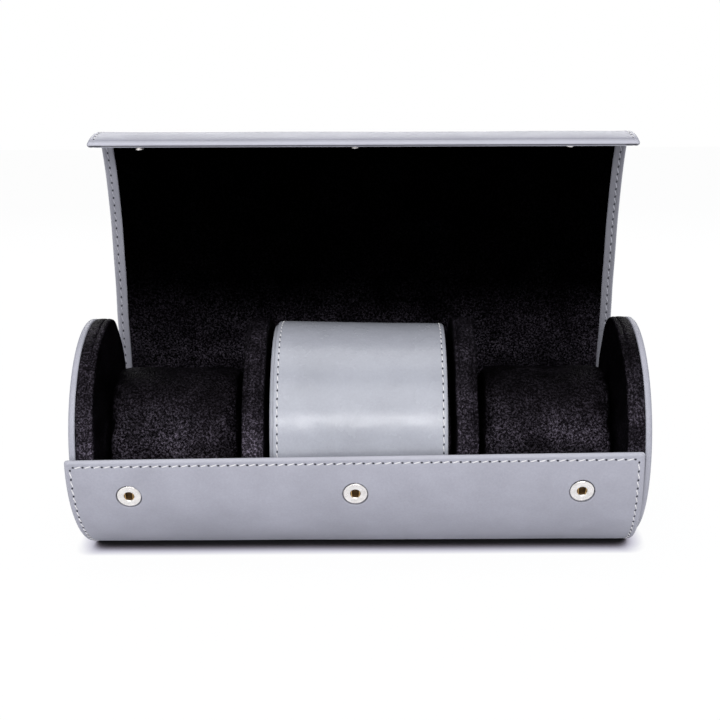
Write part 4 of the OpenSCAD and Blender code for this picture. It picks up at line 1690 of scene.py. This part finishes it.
@dataclass
class CentreCushion:
    """The large cushion: a suede core in two stitched leather wraps."""

    finishes: Finishes
    core_r: float = 50.0
    centre_z: float = -0.4
    half_core: float = 42.8
    wrap_t: float = 1.2
    seam_in: float = 2.1
    slim: float = 1.5
    slim_half: float = 40.0
    slit_at: float = 300.0
    slit_half: float = 0.8
    channel: float = 0.13
    channel_width: float = 0.55
    unevenness: float = 0.07
    edge_wear: float = 0.5
    rim_at: tuple[float, ...] = (0.35, 0.1, 0.0, 0.1, 0.4)
    rim_depth: tuple[float, ...] = (0.0, 0.12, 0.6, 1.05, 1.18)
    seam_zone: tuple[float, float] = (0.9, 4.6)
    seam_columns: int = 9
    body_in: float = 7
    body_columns: int = 22
    turn_steps: int = 300
    core_steps: int = 144

    def build(self) -> list[Piece]:
        """Makes the core, the under wrap and the top wrap.

        Returns:
            The pieces.
        """
        h, r = self.half_core, self.core_r
        profile = mirrored(np.vstack([
            [[-h + 0.6, 0.01], [-h + 0.1, 14], [-h, 28], [-h + 0.2, 40]],
            arc((-h + 4.2, r - 4.4), 4.2, 180, 96, 9),
            [[-h + 6.5, r - 0.1], [-20, r]],
        ]))
        profile[:, 1] -= np.minimum(self._slimmer(profile[:, 0]), profile[:, 1] - 0.01)
        core = turned_form("centre_core", profile, (0, 0, AXIS_Z + self.centre_z), (1, 0, 0),
                           self.finishes.cushion, self.core_steps)
        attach(core, "cushion_centre")
        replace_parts(core, "centre_foam")
        under = WrapSizes("centre_under_wrap", "centre_underlay", low=-42.2, high=39.3,
                          inner=r + 0.02, round_over=0.9, drop=2.6)
        top = WrapSizes("centre_top_wrap", "centre_wrap", low=-40.6, high=40.9,
                        inner=r + 1.25, round_over=0.45, drop=0.8)
        return [core, *self._wrap(under), *self._wrap(top)]

    def _slimmer(self, x: np.ndarray) -> np.ndarray:
        """How much slimmer the cushion is towards its right end, as hand stuffing leaves it."""
        share = (np.asarray(x) + self.slim_half) / (2 * self.slim_half)
        return self.slim * np.clip(share, 0, 1)

    def _round(self, x: np.ndarray, radius: np.ndarray, turn: np.ndarray) -> np.ndarray:
        """Points at a radius and an angle round the cushion's own axis."""
        return np.stack([x, radius * np.cos(turn), radius * np.sin(turn) + AXIS_Z + self.centre_z],
                        axis=-1)

    def _wrap(self, size: WrapSizes) -> list[Piece]:
        """One leather wrap with rounded edges, open in a slit low at the back.

        Args:
            size: The wrap's sizes.

        Returns:
            The wrap, its stitches and its needle holes.
        """
        t, low, high = self.wrap_t, size.low, size.high
        (near, far), inset = self.seam_zone, self.body_in
        x = np.concatenate([
            low + np.array(self.rim_at), np.linspace(low + near, low + far, self.seam_columns),
            np.linspace(low + inset, high - inset, self.body_columns),
            np.linspace(high - far, high - near, self.seam_columns),
            high - np.array(self.rim_at[::-1])])
        body = np.full(len(x) - 2 * len(self.rim_at), t)
        n = np.concatenate([self.rim_depth, body, self.rim_depth[::-1]])
        edge = np.minimum(x - low, high - x)
        across = (edge - self.seam_in) / self.channel_width
        n = n - self.channel * np.exp(-(across**2)) * (n > 0.9)
        dip = size.round_over * np.exp(-np.maximum(edge, 0) / size.drop)
        start, end = self.slit_at + self.slit_half, self.slit_at + 360 - self.slit_half
        turn = np.radians(np.linspace(start, end, self.turn_steps))[:, None]
        radius = size.inner + n - dip - self._slimmer(x)
        radius = radius + self.unevenness * np.sin(3 * turn + x * 0.08) * (n > 0.9)
        points = self._round(np.broadcast_to(x, radius.shape), radius, turn)
        piece = new_piece(size.name, points.reshape(-1, 3),
                          grid_faces(len(turn), len(x), False, True), self.finishes.wrap)
        wear = self.edge_wear * np.clip((0.5 - edge) / 0.5, 0, 1)
        paint(piece, "edge", np.broadcast_to(wear, radius.shape))
        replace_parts(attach(piece, "cushion_centre"), size.node)
        return [piece, *self._sew(size, np.radians(np.arange(start + 3, end - 3, 0.6)))]

    def _sew(self, size: WrapSizes, turn: np.ndarray) -> list[Piece]:
        """Sews a row of stitches along both edges of a wrap.

        Args:
            size: The wrap's sizes.
            turn: Angles of the row's points.

        Returns:
            The stitches and the needle holes.
        """
        sew = SaddleStitch(pitch=4.1, thread=0.26, rise=0.24, slant=0.2, hole=0.42)
        out = np.stack([np.zeros(len(turn)), np.cos(turn), np.sin(turn)], axis=1)
        dip = size.round_over * math.exp(-self.seam_in / size.drop)
        threads, holes = [], []
        for place in (size.low + self.seam_in, size.high - self.seam_in):
            lay = size.inner + self.wrap_t - 0.15 - dip - float(self._slimmer(place))
            more = sew.along(self._round(np.full(len(turn), place), lay, turn), out)
            threads += more[0]
            holes += more[1]
        pieces = []
        for word, parts, material in (("stitches", threads, self.finishes.thread),
                                      ("holes", holes, self.finishes.hole)):
            sewn = joined_piece(f"{size.name}_{word}", parts, material)
            pieces.append(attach(sewn, "cushion_centre"))
        return pieces


# ---- Press studs ------------------------------------------------------------


@dataclass
class PressStuds:
    """Sockets in the front flap and the studs that enter them."""

    finishes: Finishes
    panel: LeatherPanel
    face: float = 2.62
    stud_len: float = 3.25
    closed_r: float = 58.1
    wire_r: float = 0.22
    wire_half: float = 2.5
    wire_x: float = 1.84
    wire_sunk: float = 0.32
    wire_lean: float = 0.14
    wire_bow: float = 0.2
    wire_rings: int = 11
    wire_sides: int = 8
    rim_steps: int = 72
    small_steps: int = 48

    def build(self) -> list[Piece]:
        """Makes the sockets and studs and dresses the small rivets behind them.

        Returns:
            The pieces.
        """
        pieces = []
        for number, place in enumerate((-1, 0, 1), 1):
            x = place * self.panel.socket_pitch
            pieces += [*self._socket(number, x), self._stud(number, x)]
        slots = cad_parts["stud_rivets"].data.materials
        slots.clear()
        slots.append(self.finishes.nickel)
        return pieces

    def _socket(self, number: int, x: float) -> list[Piece]:
        """A turned socket with a rolled rim, a fine ring, two spring wires and a back.

        Args:
            number: Which of the three it is.
            x: Its place across the panel.

        Returns:
            The ring, the back and the wires.
        """
        line, f = self.panel.line, self.face
        base = line.place(self.panel.socket_s, x, 0.0)
        out = line.outward(np.array([self.panel.socket_s]))[0]
        profile = np.array([
            [f - 0.9, 3.0], [f - 0.8, 2.45], [f - 0.45, 2.35], [f - 0.15, 2.45], [f - 0.03, 2.75],
            [f, 3.2], [f, 3.8], [f, 4.2], [f - 0.02, 4.35], [f - 0.14, 4.5], [f - 0.02, 4.65],
            [f + 0.02, 4.85], [f + 0.02, 5.2], [f - 0.02, 5.45], [f - 0.14, 5.66],
            [f - 0.35, 5.75], [f - 1.2, 5.72],
        ])
        ring = turned_form(f"snap_socket_{number}", profile, base, out, self.finishes.nickel,
                           self.rim_steps)
        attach(ring, "front_flap")
        back = np.array([[0.76, 0.01], [0.74, 0.5], [0.64, 1.1], [0.62, 1.6], [0.68, 2.7],
                         [1.0, 2.95], [1.6, 3.05], [0.65, 5.2]])
        cup = turned_form(f"snap_back_{number}", back, base, out, self.finishes.dark_brass,
                          self.small_steps)
        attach(cup, "front_flap")
        wires = joined_piece(f"snap_wires_{number}",
                             [self._wire(base, out, side) for side in (-1, 1)],
                             self.finishes.brass)
        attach(wires, "front_flap")
        if number == 2:
            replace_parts(ring, "snap_sockets")
            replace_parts(cup, "snap_backs")
            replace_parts(wires, "snap_springs")
        return [ring, cup, wires]

    def _wire(self, base: np.ndarray, out: np.ndarray, side: int) -> Part:
        """One bowed spring wire beside the middle of a socket.

        Args:
            base: The socket's middle at the panel's inner face.
            out: The outward direction there.
            side: The side that it lies on, as a sign.

        Returns:
            Its points and faces.
        """
        cross = np.array([1.0, 0.0, 0.0])
        up = np.cross(out, cross)
        rings, sides, points = self.wire_rings, self.wire_sides, []
        for k in range(rings):
            u = 2 * k / (rings - 1) - 1
            centre = (base + out * (self.face - self.wire_sunk) + up * (self.wire_half * u)
                      + cross * side * (self.wire_x + self.wire_lean * u - self.wire_bow * u * u))
            for j in range(sides):
                a = 2 * math.pi * j / sides
                points.append(centre + self.wire_r * (math.cos(a) * out + math.sin(a) * cross))
        return np.array(points), grid_faces(rings, sides, True)

    def _meeting(self, socket: np.ndarray) -> float:
        """How far past the crease a stud stands to meet a socket when the roll is closed."""
        angle = math.degrees(math.atan2(socket[2] - AXIS_Z, -socket[1]))
        return math.radians(self.panel.line.crease - angle) * self.closed_r

    def _stud(self, number: int, x: float) -> Piece:
        """A turned stud with a flange, standing in the closing flap's lining.

        Args:
            number: Which of the three it is.
            x: Its place across the panel.

        Returns:
            The piece.
        """
        line, h = self.panel.line, self.stud_len
        socket = line.place(self.panel.socket_s, x, 0.0)
        s = line.crease_at + self._meeting(socket)
        base = line.place(s, 0.0, 0.0)
        base[0] = socket[0]
        down = -line.outward(np.array([s]))[0]
        profile = np.array([
            [-0.45, 4.3], [0.0, 4.35], [0.22, 4.2], [0.32, 3.8], [0.28, 3.0], [0.34, 2.2],
            [0.6, 1.6], [h - 1.9, 1.35], [h - 1.25, 1.42], [h - 1.0, 1.85], [h - 0.8, 2.0],
            [h - 0.5, 2.0], [h - 0.2, 1.8], [h - 0.05, 1.4], [h, 0.8], [h, 0.01],
        ])
        piece = turned_form(f"snap_stud_{number}", profile, base, down, self.finishes.nickel,
                            self.small_steps)
        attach(piece, "closing_flap")
        if number == 2:
            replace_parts(piece, "snap_studs")
        return piece


# ---- Studio -----------------------------------------------------------------


@dataclass
class Studio:
    """The camera, the lamps, the white surround and the floor. Sizes are in metres."""

    lens: float = 65.2
    sensor: float = 36.0
    eye: tuple[float, float, float] = (0.008, -0.6340, 0.2242)
    shift: float = 0.0220
    pitch: float = 12.0
    roll: float = 0.27
    aim: tuple[float, float, float] = (0, 0, 0.07)
    sky: Colour = (0.95, 0.97, 1.0)
    glow: float = 0.34
    floor_size: float = 8.0
    floor_z: float = -0.0004
    floor_tint: Colour = (0.86, 0.86, 0.88)
    floor_lit: Colour = (0.03, 0.03, 0.032)
    shadow_reach: float = 0.0084
    shadow_samples: int = 24
    lamps: tuple[tuple, ...] = (
        ("front_strip", (0.0, -1.35, 0.55), (1.3, 0.24), 11.2),
        ("key_box", (-0.15, -1.00, 1.12), (1.4, 0.7), 7.2),
        ("top_box", (0.0, 0.10, 1.40), (1.4, 0.8), 6.3),
        ("back_box", (0.0, 1.30, 0.80), (1.7, 0.5), 9.0),
        ("left_box", (-1.25, -0.75, 0.40), (0.7, 0.9), 1.3),
        ("right_box", (1.25, -0.75, 0.42), (0.7, 0.9), 0.6),
    )
    shadow: tuple[tuple[float, Colour], ...] = (
        (0.15, (0.0, 0.0, 0.0)), (0.21, (0.055, 0.047, 0.058)), (0.30, (0.165, 0.155, 0.185)),
        (0.42, (0.38, 0.37, 0.44)), (0.58, (0.60, 0.59, 0.67)), (0.83, (0.82, 0.82, 0.86)),
        (1.0, (0.97, 0.97, 0.97)),
    )

    def build(self) -> None:
        """Sets up the whole studio."""
        bpy.context.scene.view_settings.view_transform = "Standard"
        self._camera()
        self._world()
        self._floor()
        for name, place, size, power in self.lamps:
            self._lamp(name, place, size, power)

    def _camera(self) -> None:
        """A camera at the photograph's height and angle."""
        data = bpy.data.cameras.new("camera")
        data.lens, data.sensor_width, data.shift_x = self.lens, self.sensor, -self.shift
        camera = bpy.data.objects.new("camera", data)
        camera.location = self.eye
        camera.rotation_euler = (math.radians(90 - self.pitch), math.radians(self.roll), 0)
        bpy.context.scene.collection.objects.link(camera)
        bpy.context.scene.camera = camera

    def _lamp(self, name: str, place: Sequence[float], size: tuple[float, float],
              power: float) -> None:
        """A soft rectangular lamp that points at the roll.

        Args:
            name: The lamp's name.
            place: Where it stands.
            size: Its width and height.
            power: Its power in watts.
        """
        data = bpy.data.lights.new(name, "AREA")
        data.shape, data.size, data.size_y, data.energy = "RECTANGLE", size[0], size[1], power
        lamp = bpy.data.objects.new(name, data)
        lamp.location = place
        way = Vector(self.aim) - Vector(place)
        lamp.rotation_euler = way.to_track_quat("-Z", "Y").to_euler()
        bpy.context.scene.collection.objects.link(lamp)

    def _world(self) -> None:
        """A soft pale surround, pure white to the camera."""
        world = bpy.data.worlds.new("studio")
        bpy.context.scene.world = world
        world.use_nodes = True
        tree = world.node_tree
        tree.nodes.clear()
        output = tree.nodes.new("ShaderNodeOutputWorld")
        mix = tree.nodes.new("ShaderNodeMixShader")
        skies = ((self.sky, self.glow), (WHITE, 1.0))
        for index, (colour, strength) in enumerate(skies, 1):
            sky = tree.nodes.new("ShaderNodeBackground")
            sky.inputs["Color"].default_value = (*colour, 1)
            sky.inputs["Strength"].default_value = strength
            tree.links.new(sky.outputs[0], mix.inputs[index])
        path = tree.nodes.new("ShaderNodeLightPath")
        tree.links.new(path.outputs["Is Camera Ray"], mix.inputs["Fac"])
        tree.links.new(mix.outputs[0], output.inputs["Surface"])

    def _floor(self) -> None:
        """A white floor that stays white to the camera, with a painted contact shadow from
        ambient occlusion near the roll and a faint share of its real shadow.
        """
        bpy.ops.mesh.primitive_plane_add(size=self.floor_size, location=(0, 0, self.floor_z))
        floor = bpy.context.object
        floor.name = "floor"
        board = NodeBoard("white_floor")
        board.set(Base_Color=(*self.floor_tint, 1), Roughness=0.8, Specular_IOR_Level=0.2)
        # Painted shadow: to the camera the floor glows less where ambient occlusion finds the roll
        # near.
        near = board.add("ShaderNodeAmbientOcclusion", samples=self.shadow_samples,
                         Distance=self.shadow_reach)
        glow = board.add("ShaderNodeEmission")
        board.join(board.ramp(near.outputs["AO"], self.shadow), glow.inputs["Color"])
        seen = board.add("ShaderNodeBsdfDiffuse", Color=(*self.floor_lit, 1))
        both = board.add("ShaderNodeAddShader")
        board.join(seen.outputs["BSDF"], both.inputs[0])
        board.join(glow.outputs["Emission"], both.inputs[1])
        path = board.add("ShaderNodeLightPath")
        mix = board.add("ShaderNodeMixShader")
        board.join(path.outputs["Is Camera Ray"], mix.inputs["Fac"])
        board.join(board.shader.outputs["BSDF"], mix.inputs[1])
        board.join(both.outputs["Shader"], mix.inputs[2])
        board.join(mix.outputs["Shader"], board.output.inputs["Surface"])
        floor.data.materials.append(board.material)


def main() -> None:
    """Builds the studio and every piece of the roll."""
    logging.basicConfig(level=logging.INFO, format="%(name)s: %(message)s")
    Studio().build()
    finishes = Finishes()
    panel = LeatherPanel(finishes)
    makers = [panel]
    for side in Side:
        makers += [EndCap(side, finishes), Divider(side, finishes), SideCushion(side, finishes)]
    makers += [CentreCushion(finishes), PressStuds(finishes, panel)]
    for maker in makers:
        for piece in maker.build():
            LOG.info("%s made %s", type(maker).__name__, piece.name)


if __name__ == "__main__":
    main()
